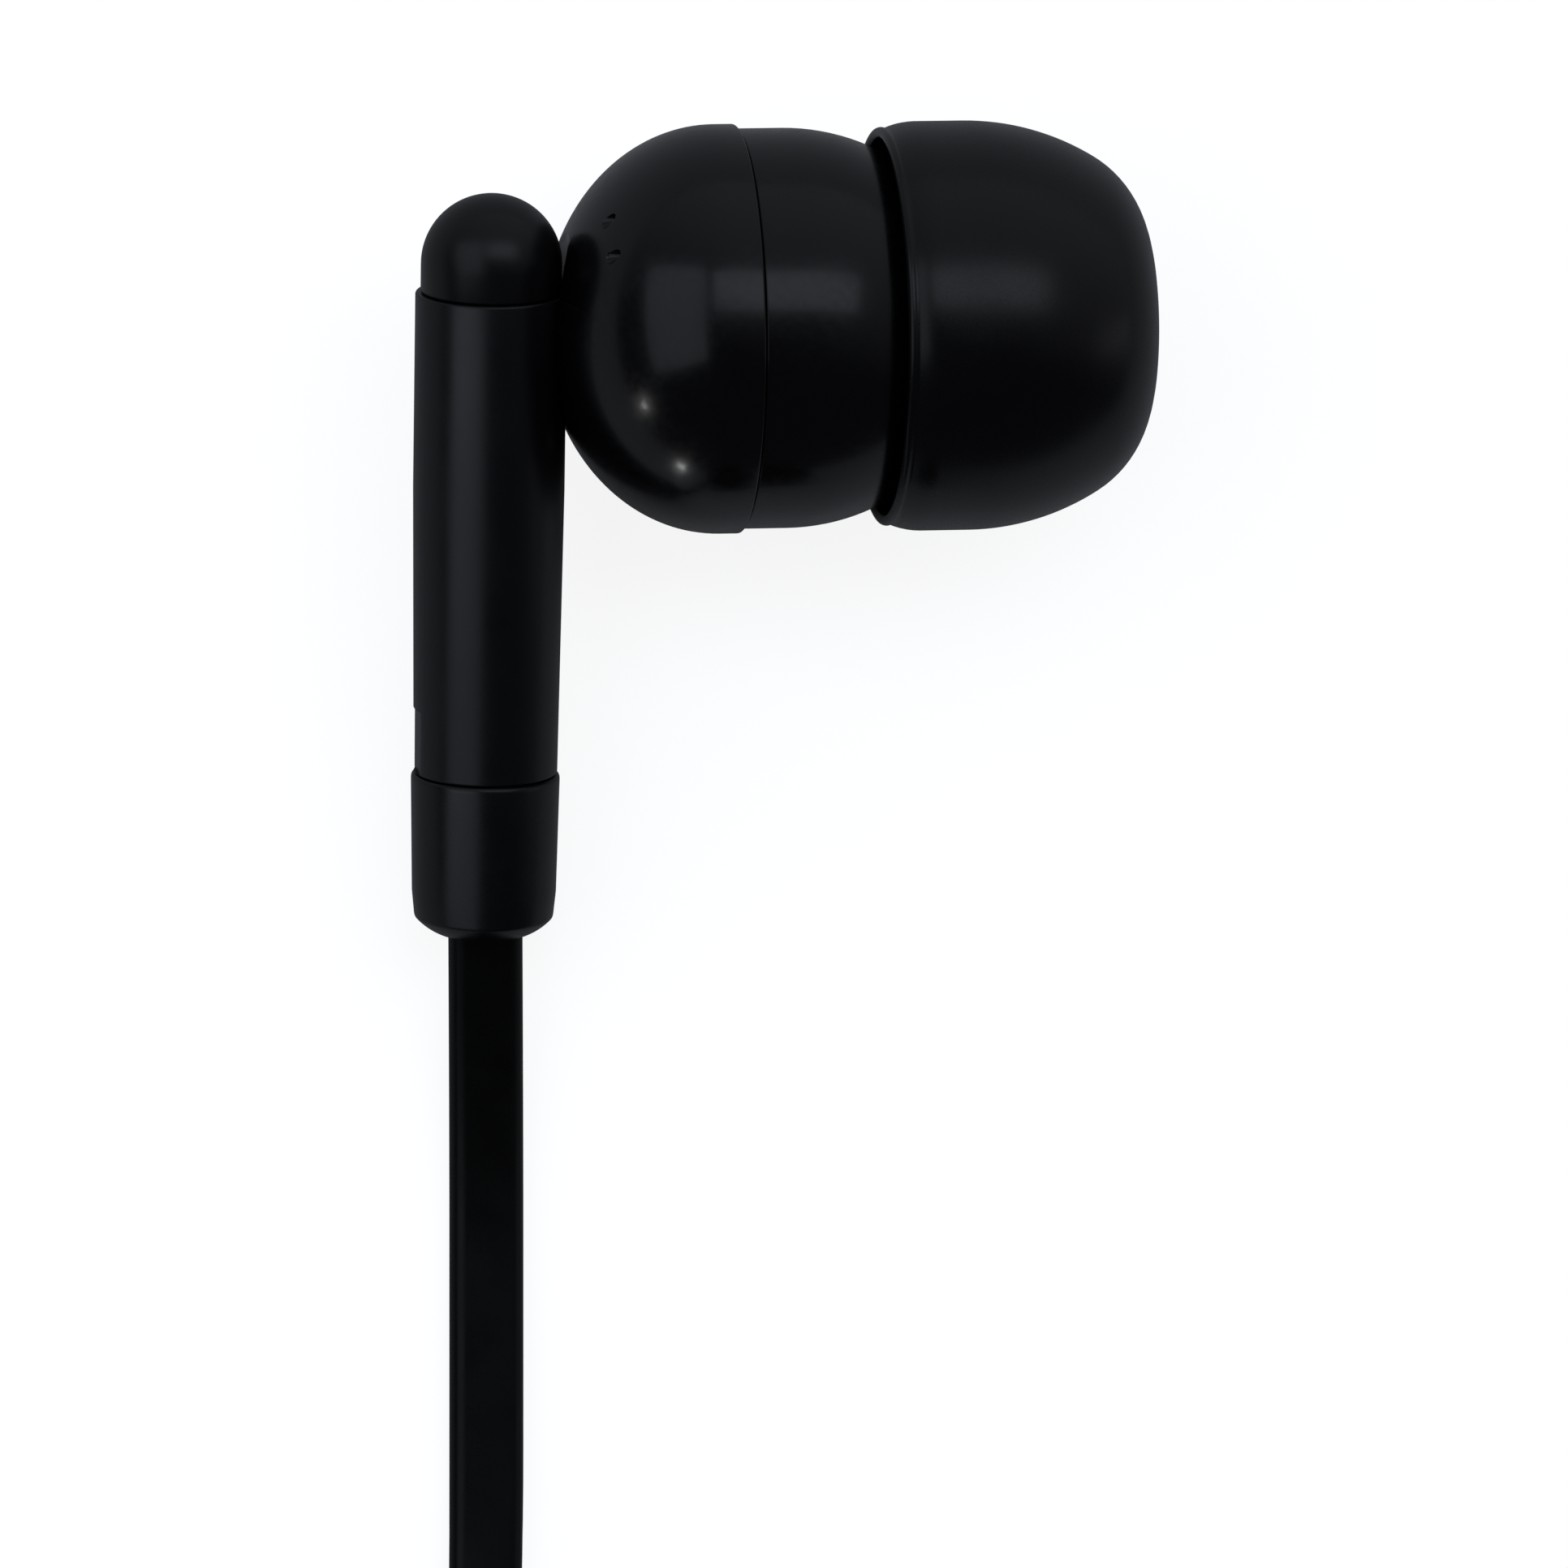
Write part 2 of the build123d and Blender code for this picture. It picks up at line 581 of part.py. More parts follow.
def make_plug():
    """Every piece of the 3.5 mm stereo plug, in the row frame."""
    sleeve_end, ring_start, ring_end, tip_start = PLUG_RING_GAPS
    tip = Polyline(
        (0, plug_station(-PLUG_TAIL)),
        (0.45, plug_station(-PLUG_TAIL)),
        (0.45, plug_station(tip_start)),
        (PLUG_R, plug_station(tip_start)),
        (PLUG_R, plug_station(PLUG_BARREL_END)),
        (1.15, plug_station(11.5)),
        (1.6, plug_station(12.5)),
        (0.4, plug_station(PLUG_LENGTH)),
        (0, plug_station(PLUG_LENGTH)),
        close=True,
    )
    ring = plug_tube(PLUG_R, 0.75, ring_start, ring_end) + plug_tube(1.0, 0.75, -3.2, ring_start)
    inner = plug_tube(PLUG_R, 0.45, ring_end, tip_start) + plug_tube(0.75, 0.45, -3.4, ring_end)
    outer = plug_tube(PLUG_R, 1.0, sleeve_end, ring_start)
    outer += plug_tube(PLUG_SLEEVE_BORE_R, 1.0, -2.6, sleeve_end)
    sleeve = plug_tube(PLUG_R, PLUG_SLEEVE_BORE_R, 0, sleeve_end)
    sleeve += plug_tube(PLUG_SEAT_R, PLUG_SLEEVE_BORE_R, -PLUG_SEAT, 0)
    core = plug_tube(PLUG_CORE_R, 0, -GRIP_LENGTH + 1, -PLUG_SEAT) - plug_tube(PLUG_SLEEVE_BORE_R, 0, -PLUG_TAIL, 0)
    grip = plug_tube(GRIP_R, 0, -GRIP_LENGTH, 0)
    grip = fillet(grip.edges().filter_by(GeomType.CIRCLE), 0.6)
    grip -= plug_tube(PLUG_CORE_R, 0, -GRIP_LENGTH + 1, -PLUG_SEAT)
    grip -= plug_tube(PLUG_SEAT_R, 0, -PLUG_SEAT, 1.0)
    relief_start = plug_station(-GRIP_LENGTH)
    relief_end = relief_start + PLUG_RELIEF_LENGTH
    relief = turned_y(Polyline(
        (0, relief_start),
        (PLUG_RELIEF_R, relief_start),
        (PLUG_RELIEF_END_R, relief_end),
        (0, relief_end),
        close=True,
    ))
    return {
        "plug_tip": Pos(PLUG_X, 0, PLUG_Z) * turned_y(tip),
        "plug_ring": ring,
        "plug_sleeve": sleeve,
        "plug_inner_insulator": inner,
        "plug_outer_insulator": outer,
        "plug_core": core,
        "plug_grip": grip,
        "plug_strain_relief": Pos(PLUG_X, 0, PLUG_Z) * relief,
    }


def make_cords(plug_relief):
    """Both legs, the main cord up to the plug's strain relief, the hank's layers, the splitter and the tie."""
    left_hank = hank_layer(LEFT_LOOP_Y, LEG_LOOP_R, LAYER_1, LEG_W)
    left_hank -= Pos(0, 0, TIE_T / 2) * Box(4 * LEG_LOOP_R, TIE_W, TIE_T)
    right_hank = hank_layer(RIGHT_LOOP_Y, LEG_LOOP_R, LAYER_2, LEG_W)
    main_hank = hank_layer(MAIN_LOOP_Y, MAIN_LOOP_R, LAYER_3, 2 * MAIN_W)
    relief_end = PLUG_FACE_Y + GRIP_LENGTH + PLUG_RELIEF_LENGTH
    plug_lead = flat_cord(
        [(PLUG_X, relief_end, PLUG_Z), (PLUG_X + 1.2, relief_end + 6.0, HANK_TOP + 0.4)],
        MAIN_W, MAIN_T, flat=False,
    )
    return {
        "left_leg_cord": flat_cord(left_route(), LEG_W, LEG_T, flat=True) - left_hank,
        "right_leg_cord": flat_cord(right_route(), LEG_W, LEG_T, flat=True) - right_hank,
        "main_cord_end": plug_lead - main_hank - plug_relief,
        "left_leg_hank": left_hank,
        "right_leg_hank": right_hank,
        "main_cord_hank": main_hank,
        "splitter_front": make_splitter_half(1),
        "splitter_rear": make_splitter_half(-1),
        "splitter_core": Pos(0, 0, SPLITTER_Z) * Box(*[size - 0.04 for size in SPLITTER_CORE]),
        "hank_tie": make_hank_tie(),
    }


def main():
    """Place both earpieces, add the cords and the plug, and write each node as its own file."""
    os.makedirs("parts", exist_ok=True)
    place = Pos(STEM_X, HOUSING_Y, HOUSING_Z) * Rot(0, 0, YAW) * Rot(ROLL, 0, 0)
    nodes = {}
    for name, piece in make_earpiece().items():
        nodes["left_" + name] = place * piece
        nodes["right_" + name] = Rot(0, 0, 180) * place * piece
    plug = make_plug()
    nodes.update(plug)
    nodes.update(make_cords(plug["plug_strain_relief"]))
    for name, piece in nodes.items():
        export_step(piece, f"parts/{name}.step")
    print(len(nodes), "nodes; roll", round(ROLL, 3), "cord exit", [round(value, 3) for value in cord_exit()])


main()
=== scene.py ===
"""Wired earphones: two in-ear pieces on a flat Y cord, the spare cord tied in a hank with a stereo plug on it."""

import logging
import math
import random
from collections.abc import Sequence
from dataclasses import dataclass
from enum import Enum

import bmesh
import bpy
from mathutils import Matrix, Vector


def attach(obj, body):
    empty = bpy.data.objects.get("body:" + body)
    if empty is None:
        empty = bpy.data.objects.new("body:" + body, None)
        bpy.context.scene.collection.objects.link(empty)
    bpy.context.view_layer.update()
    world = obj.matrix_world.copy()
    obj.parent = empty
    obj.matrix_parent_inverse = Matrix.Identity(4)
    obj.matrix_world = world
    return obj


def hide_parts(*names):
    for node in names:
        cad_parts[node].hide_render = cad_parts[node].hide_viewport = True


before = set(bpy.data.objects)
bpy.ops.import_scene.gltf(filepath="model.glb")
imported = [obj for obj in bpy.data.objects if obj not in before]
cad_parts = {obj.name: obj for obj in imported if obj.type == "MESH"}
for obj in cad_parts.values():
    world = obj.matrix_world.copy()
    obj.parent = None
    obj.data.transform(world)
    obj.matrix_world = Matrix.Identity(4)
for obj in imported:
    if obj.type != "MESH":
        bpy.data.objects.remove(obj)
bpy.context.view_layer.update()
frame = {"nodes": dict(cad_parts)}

log = logging.getLogger("earphones")

MM = 0.001
FULL_TURN = 2 * math.pi
TO_METRES = Matrix.Scale(MM, 4)
SMOOTH_ANGLE = math.radians(38)
LEAST_TURN = math.radians(14)
WHITE = (1.0, 1.0, 1.0, 1.0)

Pair = tuple[float, float]
Point = tuple[float, float, float]
Colour = tuple[float, float, float]
Outline = Sequence[Pair]
Inputs = dict[str | int, object]
Ring = list[bmesh.types.BMVert]


class Side(Enum):
    """Which earpiece; the right one is the left one turned half a turn about Z."""

    LEFT = "left"
    RIGHT = "right"


class Along(Enum):
    """The axis that a turned piece is turned about."""

    X = "x"
    Y = "y"


class Marks(Enum):
    """The second, larger pattern on a finish."""

    NONE = "none"
    SCRATCHES = "scratches"
    RINGS_X = "rings across X"
    RINGS_Y = "rings across Y"
    CELLS = "open cells"
    FIBRES = "fibres"


# Nodes


def feed(node: bpy.types.Node, inputs: Inputs) -> bpy.types.Node:
    """Set a node's inputs to plain values, or join them to the sockets given for them."""
    for name, value in inputs.items():
        if isinstance(value, bpy.types.NodeSocket):
            node.id_data.links.new(value, node.inputs[name])
        else:
            node.inputs[name].default_value = value
    return node


def add_node(
    tree: bpy.types.NodeTree, kind: str, inputs: Inputs | None = None, **settings: object
) -> bpy.types.Node:
    """Add a shader node.

    Args:
        tree: The nodes that it joins.
        kind: Its type, without the ShaderNode that starts it.
        inputs: A plain value or a socket for each input that is not left alone.
        settings: Its own settings.

    Returns:
        The node.
    """
    node = tree.nodes.new(f"ShaderNode{kind}")
    for name, value in settings.items():
        setattr(node, name, value)
    return feed(node, inputs or {})


def colour_ramp(
    tree: bpy.types.NodeTree, fac: bpy.types.NodeSocket, low: tuple[float, Colour], high: tuple[float, Colour]
) -> bpy.types.NodeSocket:
    """A colour between two stops, each a position and its colour."""
    ramp = add_node(tree, "ValToRGB", {"Fac": fac})
    for stop, (position, colour) in zip(ramp.color_ramp.elements, (low, high)):
        stop.position, stop.color = position, (*colour, 1.0)
    return ramp.outputs["Color"]


# Finishes


@dataclass(frozen=True)
class Finish:
    """One finish, with its pattern sizes and depths in millimetres."""

    slot: str
    colour: Colour
    second: Colour
    rough: Pair
    metallic: float = 0.0
    specular: float = 0.5
    coat: float = 0.0
    sheen: float = 0.0
    patch: float = 3.0
    grain: float = 0.08
    grain_depth: float = 0.001
    marks: Marks = Marks.NONE
    marks_size: float = 0.3
    marks_depth: float = 0.002

    def material(self) -> bpy.types.Material:
        """Build the node material, or return it if it is already made."""
        name = f"{self.slot}_finish"
        if name in bpy.data.materials:
            return bpy.data.materials[name]
        material = bpy.data.materials.new(name)
        material.use_nodes = True
        tree = material.node_tree
        place = add_node(tree, "TexCoord").outputs["Object"]
        patch = self._noise(tree, place, self.patch, 3.0)
        fine = self._noise(tree, place, self.grain, 2.0)
        bump = self._bump(tree, fine, self.grain_depth)
        if self.marks is not Marks.NONE:
            bump = self._bump(tree, self._marks(tree, place), self.marks_depth, bump)
        feed(tree.nodes["Principled BSDF"], {
            "Base Color": colour_ramp(tree, patch, (0.3, self.colour), (0.7, self.second)),
            "Roughness": self._roughness(tree, patch, fine),
            "Metallic": self.metallic,
            "Specular IOR Level": self.specular,
            "Coat Weight": self.coat,
            "Coat Roughness": 0.08,
            "Sheen Weight": self.sheen,
            "Sheen Roughness": 0.4,
            "Normal": bump,
        })
        return material

    @staticmethod
    def _noise(
        tree: bpy.types.NodeTree, place: bpy.types.NodeSocket, size: float, detail: float
    ) -> bpy.types.NodeSocket:
        """Noise whose features are about the given size in millimetres."""
        inputs = {"Scale": 1 / (size * MM), "Detail": detail, "Vector": place}
        return add_node(tree, "TexNoise", inputs).outputs["Fac"]

    def _roughness(
        self, tree: bpy.types.NodeTree, patch: bpy.types.NodeSocket, fine: bpy.types.NodeSocket
    ) -> bpy.types.NodeSocket:
        """Roughness that varies with both noises between the finish's two values."""
        both = add_node(tree, "Math", {0: patch, 1: fine}, operation="MULTIPLY").outputs["Value"]
        low, high = self.rough
        inputs = {"Value": both, "From Min": 0.12, "From Max": 0.38, "To Min": low, "To Max": high}
        return add_node(tree, "MapRange", inputs).outputs["Result"]

    @staticmethod
    def _bump(
        tree: bpy.types.NodeTree,
        height: bpy.types.NodeSocket,
        depth: float,
        below: bpy.types.NodeSocket | None = None,
    ) -> bpy.types.NodeSocket:
        """A bump of the given depth in millimetres, laid over another one.

        Args:
            tree: The material's nodes.
            height: The pattern, from 0 to 1.
            depth: How far the pattern stands out, in millimetres.
            below: The normal that it is laid over, if any.

        Returns:
            The normal.
        """
        inputs = {"Strength": 1.0, "Distance": depth * MM, "Height": height}
        if below is not None:
            inputs["Normal"] = below
        return add_node(tree, "Bump", inputs).outputs["Normal"]

    def _marks(self, tree: bpy.types.NodeTree, place: bpy.types.NodeSocket) -> bpy.types.NodeSocket:
        """The finish's second pattern, from 0 to 1."""
        scale = 1 / (self.marks_size * MM)
        if self.marks is Marks.CELLS:
            return add_node(tree, "TexVoronoi", {"Scale": scale, "Vector": place}).outputs["Distance"]
        if self.marks in (Marks.RINGS_X, Marks.RINGS_Y):
            bands = "X" if self.marks is Marks.RINGS_X else "Y"
            inputs = {"Scale": scale / 3.2, "Distortion": 0.6, "Detail": 2.0, "Vector": place}
            return add_node(tree, "TexWave", inputs, bands_direction=bands).outputs["Fac"]
        stretch = add_node(
            tree, "Mapping", {"Rotation": (0.3, 0.5, 0.8), "Scale": (1.0, 0.06, 0.5), "Vector": place}
        )
        streaks = self._noise(tree, stretch.outputs["Vector"], self.marks_size, 4.0)
        if self.marks is Marks.FIBRES:
            return streaks
        inputs = {"Value": streaks, "From Min": 0.66, "From Max": 0.74, "To Min": 1.0, "To Max": 0.0}
        return add_node(tree, "MapRange", inputs).outputs["Result"]


FINISHES = {
    finish.slot: finish
    for finish in (
        Finish("shell_gloss", (0.0012, 0.0014, 0.0022), (0.0018, 0.002, 0.003), (0.18, 0.27), coat=0.1,
               patch=2.5, grain=0.25, grain_depth=0.0003, marks=Marks.SCRATCHES, marks_size=0.5, marks_depth=0.0002),
        Finish("stem_satin", (0.0034, 0.0037, 0.0048), (0.0044, 0.0047, 0.006), (0.29, 0.36),
               patch=1.8, grain=0.07, grain_depth=0.0004, marks=Marks.SCRATCHES, marks_size=0.4, marks_depth=0.0003),
        Finish("boot_rubber", (0.0022, 0.0026, 0.0036), (0.003, 0.0035, 0.0045), (0.27, 0.34),
               patch=1.2, grain=0.06, grain_depth=0.0006),
        Finish("ear_tip_silicone", (0.0012, 0.0014, 0.0022), (0.0018, 0.002, 0.003), (0.24, 0.31), sheen=0.015,
               patch=2.2, grain=0.09, grain_depth=0.0005, marks=Marks.FIBRES, marks_size=0.35, marks_depth=0.0004),
        Finish("cord_jacket", (0.0012, 0.0014, 0.0013), (0.002, 0.0022, 0.002), (0.28, 0.4), specular=0.3,
               patch=1.5, grain=0.06, grain_depth=0.0007, marks=Marks.FIBRES, marks_size=0.3, marks_depth=0.0005),
        Finish("crimp_metal", (0.62, 0.47, 0.26), (0.72, 0.58, 0.34), (0.22, 0.4), metallic=1.0,
               grain=0.05, marks=Marks.RINGS_Y, marks_size=0.12, marks_depth=0.002),
        Finish("wire_insulation", (0.42, 0.035, 0.025), (0.5, 0.05, 0.035), (0.25, 0.4), coat=0.3,
               patch=0.6, grain=0.05, grain_depth=0.0008),
        Finish("nozzle_screen", (0.3, 0.3, 0.31), (0.42, 0.42, 0.43), (0.28, 0.45), metallic=1.0,
               patch=0.5, grain=0.04, grain_depth=0.001),
        Finish("damper_foam", (0.06, 0.06, 0.06), (0.1, 0.1, 0.1), (0.85, 0.95), sheen=0.1,
               patch=0.4, grain=0.05, grain_depth=0.01, marks=Marks.CELLS, marks_size=0.12, marks_depth=0.05),
        Finish("gasket_foam", (0.025, 0.025, 0.027), (0.035, 0.035, 0.037), (0.8, 0.92),
               patch=0.5, grain=0.05, grain_depth=0.006, marks=Marks.CELLS, marks_size=0.09, marks_depth=0.02),
        Finish("driver_steel", (0.5, 0.5, 0.52), (0.6, 0.6, 0.62), (0.2, 0.36), metallic=1.0,
               patch=1.0, grain=0.04, grain_depth=0.0006, marks=Marks.FIBRES, marks_size=0.1, marks_depth=0.0008),
        Finish("magnet_plating", (0.6, 0.6, 0.61), (0.68, 0.67, 0.66), (0.1, 0.22), metallic=1.0,
               patch=0.8, grain=0.06, grain_depth=0.0006),
        Finish("coil_wire", (0.6, 0.22, 0.08), (0.72, 0.3, 0.12), (0.22, 0.35), metallic=1.0,
               patch=0.4, grain=0.03, grain_depth=0.0004, marks=Marks.RINGS_X, marks_size=0.06, marks_depth=0.02),
        Finish("diaphragm_film", (0.5, 0.48, 0.42), (0.58, 0.56, 0.5), (0.16, 0.28), coat=0.4,
               patch=0.7, grain=0.05, grain_depth=0.0006, marks=Marks.FIBRES, marks_size=0.4, marks_depth=0.002),
        Finish("frame_plastic", (0.018, 0.018, 0.02), (0.026, 0.026, 0.028), (0.4, 0.55),
               patch=1.0, grain=0.06, grain_depth=0.003),
        Finish("damping_paper", (0.6, 0.57, 0.5), (0.7, 0.67, 0.6), (0.85, 0.95),
               patch=0.5, grain=0.05, grain_depth=0.004, marks=Marks.FIBRES, marks_size=0.12, marks_depth=0.012),
        Finish("circuit_board", (0.012, 0.12, 0.045), (0.02, 0.16, 0.06), (0.25, 0.4), coat=0.5,
               patch=0.3, grain=0.05, grain_depth=0.001, marks=Marks.CELLS, marks_size=0.4, marks_depth=0.004),
        Finish("splitter_plastic", (0.006, 0.0065, 0.0078), (0.008, 0.0085, 0.0098), (0.3, 0.42),
               patch=1.5, grain=0.08, grain_depth=0.002, marks=Marks.SCRATCHES, marks_size=0.4, marks_depth=0.0008),
        Finish("tie_plastic", (0.009, 0.009, 0.009), (0.013, 0.013, 0.013), (0.34, 0.5),
               patch=0.9, grain=0.07, grain_depth=0.004, marks=Marks.FIBRES, marks_size=0.25, marks_depth=0.004),
        Finish("plug_metal", (0.72, 0.5, 0.22), (0.8, 0.58, 0.28), (0.1, 0.2), metallic=1.0,
               patch=1.0, grain=0.05, grain_depth=0.0003, marks=Marks.RINGS_Y, marks_size=0.07, marks_depth=0.0008),
        Finish("plug_insulator", (0.008, 0.008, 0.008), (0.012, 0.012, 0.012), (0.3, 0.45),
               patch=0.6, grain=0.06, grain_depth=0.0015),
        Finish("plug_grip_plastic", (0.0065, 0.007, 0.0082), (0.009, 0.0095, 0.0105), (0.32, 0.44),
               patch=1.5, grain=0.07, grain_depth=0.0025, marks=Marks.SCRATCHES, marks_size=0.4, marks_depth=0.0008),
    )
}


# Making and placing meshes


def three_point_arc(start: Pair, middle: Pair, end: Pair, steps: int) -> list[Pair]:
    """Points on the circle through three points.

    Args:
        start: Where the arc starts.
        middle: A point that it passes through.
        end: Where it ends.
        steps: How many points to give.

    Returns:
        The points after the start, with the end.
    """
    (ax, ay), (bx, by), (cx, cy) = start, middle, end
    spread = 2 * (ax * (by - cy) + bx * (cy - ay) + cx * (ay - by))
    a2, b2, c2 = ax * ax + ay * ay, bx * bx + by * by, cx * cx + cy * cy
    ox = (a2 * (by - cy) + b2 * (cy - ay) + c2 * (ay - by)) / spread
    oy = (a2 * (cx - bx) + b2 * (ax - cx) + c2 * (bx - ax)) / spread
    radius = math.hypot(ax - ox, ay - oy)
    first = math.atan2(ay - oy, ax - ox)
    sweep = (math.atan2(cy - oy, cx - ox) - first) % FULL_TURN
    if (math.atan2(by - oy, bx - ox) - first) % FULL_TURN > sweep:
        sweep -= FULL_TURN
    angles = [first + sweep * step / steps for step in range(1, steps + 1)]
    return [(ox + radius * math.cos(angle), oy + radius * math.sin(angle)) for angle in angles]


def tangent_arc(start: Pair, end: Pair, heading: Pair, steps: int) -> list[Pair]:
    """Points on the circle that leaves a point in a given direction and reaches another."""
    chord = Vector((end[0] - start[0], end[1] - start[1]))
    across = Vector((-heading[1], heading[0])).normalized()
    radius = chord.length_squared / (2 * chord.dot(across))
    centre = Vector(start) + across * radius
    bisector = ((Vector(start) - centre) + (Vector(end) - centre)).normalized()
    middle = centre + bisector * abs(radius)
    return three_point_arc(start, (middle.x, middle.y), end, steps)


def ellipse_arc(centre: Pair, reach: Pair, first: float, last: float, steps: int) -> list[Pair]:
    """Points on an ellipse between two angles in degrees, with both ends."""
    angles = [math.radians(first + (last - first) * step / steps) for step in range(steps + 1)]
    return [(centre[0] + reach[0] * math.cos(angle), centre[1] + reach[1] * math.sin(angle)) for angle in angles]


def softened(outline: Outline, edge: float) -> list[Pair]:
    """Round every corner of an outline that turns by more than a little.

    Args:
        outline: Points as (station, radius); it is closed unless both ends are on the axis.
        edge: How far from the corner the rounding starts, in millimetres.

    Returns:
        The outline with its corners rounded.
    """
    closed = outline[0][1] > 0 or outline[-1][1] > 0
    count = len(outline)
    soft: list[Pair] = []
    pieces = 4
    for index, corner in enumerate(outline):
        if not closed and index in (0, count - 1):
            soft.append(corner)
            continue
        here = Vector(corner)
        to_last = Vector(outline[index - 1]) - here
        to_next = Vector(outline[(index + 1) % count]) - here
        turn = math.pi - to_last.angle(to_next)
        if turn < LEAST_TURN:
            soft.append(corner)
            continue
        start = here + to_last.normalized() * min(edge, to_last.length * 0.42)
        end = here + to_next.normalized() * min(edge, to_next.length * 0.42)
        for step in range(pieces + 1):
            along = step / pieces
            spot = start * (1 - along) ** 2 + here * 2 * along * (1 - along) + end * along**2
            soft.append((spot.x, spot.y))
    return soft


def new_object(name: str, data: bpy.types.ID) -> bpy.types.Object:
    """A new object for a mesh, curve, light or camera, in the scene."""
    made = bpy.data.objects.new(name, data)
    bpy.context.scene.collection.objects.link(made)
    return made


def built(builder: bmesh.types.BMesh, name: str) -> bpy.types.Object:
    """A new object with a builder's mesh; the builder is freed."""
    mesh = bpy.data.meshes.new(name)
    builder.to_mesh(mesh)
    builder.free()
    return new_object(name, mesh)


def skin(builder: bmesh.types.BMesh, rings: Sequence[Ring]) -> None:
    """Join each ring of corners to the next one with faces."""
    for first, second in zip(rings, rings[1:]):
        for corner in range(len(first)):
            follow = (corner + 1) % len(first)
            builder.faces.new((first[corner], first[follow], second[follow], second[corner]))


def turned(name: str, outline: Outline, along: Along, edge: float = 0.06, steps: int = 112) -> bpy.types.Object:
    """Turn an outline into a closed solid, in millimetres in its own frame.

    Args:
        name: The piece's name.
        outline: Points as (station, radius), in either direction.
        along: The axis that it is turned about.
        edge: Size of the rounding of its corners.
        steps: Steps round.

    Returns:
        The piece with its Screw already applied.
    """
    points = softened(outline, edge)
    ring = list(zip(points, points[1:] + points[:1]))
    if sum(a[1] * b[0] - b[1] * a[0] for a, b in ring) > 0:
        points.reverse()
    closed = outline[0][1] > 0 or outline[-1][1] > 0
    count = len(points)
    edges = [(index, (index + 1) % count) for index in range(count if closed else count - 1)]
    mesh = bpy.data.meshes.new(name)
    mesh.from_pydata([(radius, 0.0, station) for station, radius in points], edges, [])
    piece = new_object(name, mesh)
    screw = piece.modifiers.new("turn", "SCREW")
    screw.axis = "Z"
    screw.angle = FULL_TURN
    screw.steps = screw.render_steps = steps
    screw.use_merge_vertices = True
    screw.merge_threshold = 1e-4
    turn = Matrix.Rotation(math.pi / 2, 4, "Y") if along is Along.X else Matrix.Rotation(-math.pi / 2, 4, "X")
    settle(piece, turn)
    return piece


def settle(piece: bpy.types.Object, place: Matrix) -> None:
    """Apply a piece's stack and then its place, so that its object stays at the origin."""
    bpy.context.view_layer.update()
    depsgraph = bpy.context.evaluated_depsgraph_get()
    mesh = bpy.data.meshes.new_from_object(piece.evaluated_get(depsgraph), depsgraph=depsgraph)
    rough = piece.data
    piece.modifiers.clear()
    piece.data = mesh
    bpy.data.meshes.remove(rough)
    mesh.transform(place)


def cut(piece: bpy.types.Object, cutters: Sequence[bpy.types.Object]) -> None:
    """Take helpers away from a piece with Booleans, apply them and remove the helpers."""
    for cutter in cutters:
        knife = piece.modifiers.new("cut", "BOOLEAN")
        knife.operation = "DIFFERENCE"
        knife.solver = "EXACT"
        knife.object = cutter
    settle(piece, Matrix())
    for cutter in cutters:
        bpy.data.objects.remove(cutter)


def block(name: str, low: Point, high: Point) -> bpy.types.Object:
    """A plain box between two corners, as a cage or a helper."""
    builder = bmesh.new()
    bmesh.ops.create_cube(builder, size=1.0)
    size = Vector(high) - Vector(low)
    middle = (Vector(high) + Vector(low)) / 2
    bmesh.ops.transform(
        builder, matrix=Matrix.Translation(middle) @ Matrix.Diagonal((*size, 1.0)), verts=builder.verts
    )
    return built(builder, name)


def dress(piece: bpy.types.Object, slot: str, body: str, *nodes: str) -> bpy.types.Object:
    """Shade a finished piece with its slot's finish, ride it on its body and hide the nodes it stands for.

    Args:
        piece: The piece, in metres in the row frame.
        slot: The record's material slot, which is also the finish's name.
        body: The body it rides on.
        nodes: The nodes it stands for.

    Returns:
        The piece.
    """
    mesh = piece.data
    mesh.materials.clear()
    mesh.materials.append(FINISHES[slot].material())
    if isinstance(mesh, bpy.types.Mesh):
        mesh.polygons.foreach_set("use_smooth", [True] * len(mesh.polygons))
        mesh.set_sharp_from_angle(angle=SMOOTH_ANGLE)
    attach(piece, body)
    if nodes:
        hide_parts(*nodes)
    log.info("%s: %s on %s", piece.name, slot, body)
    return piece


# Earpiece


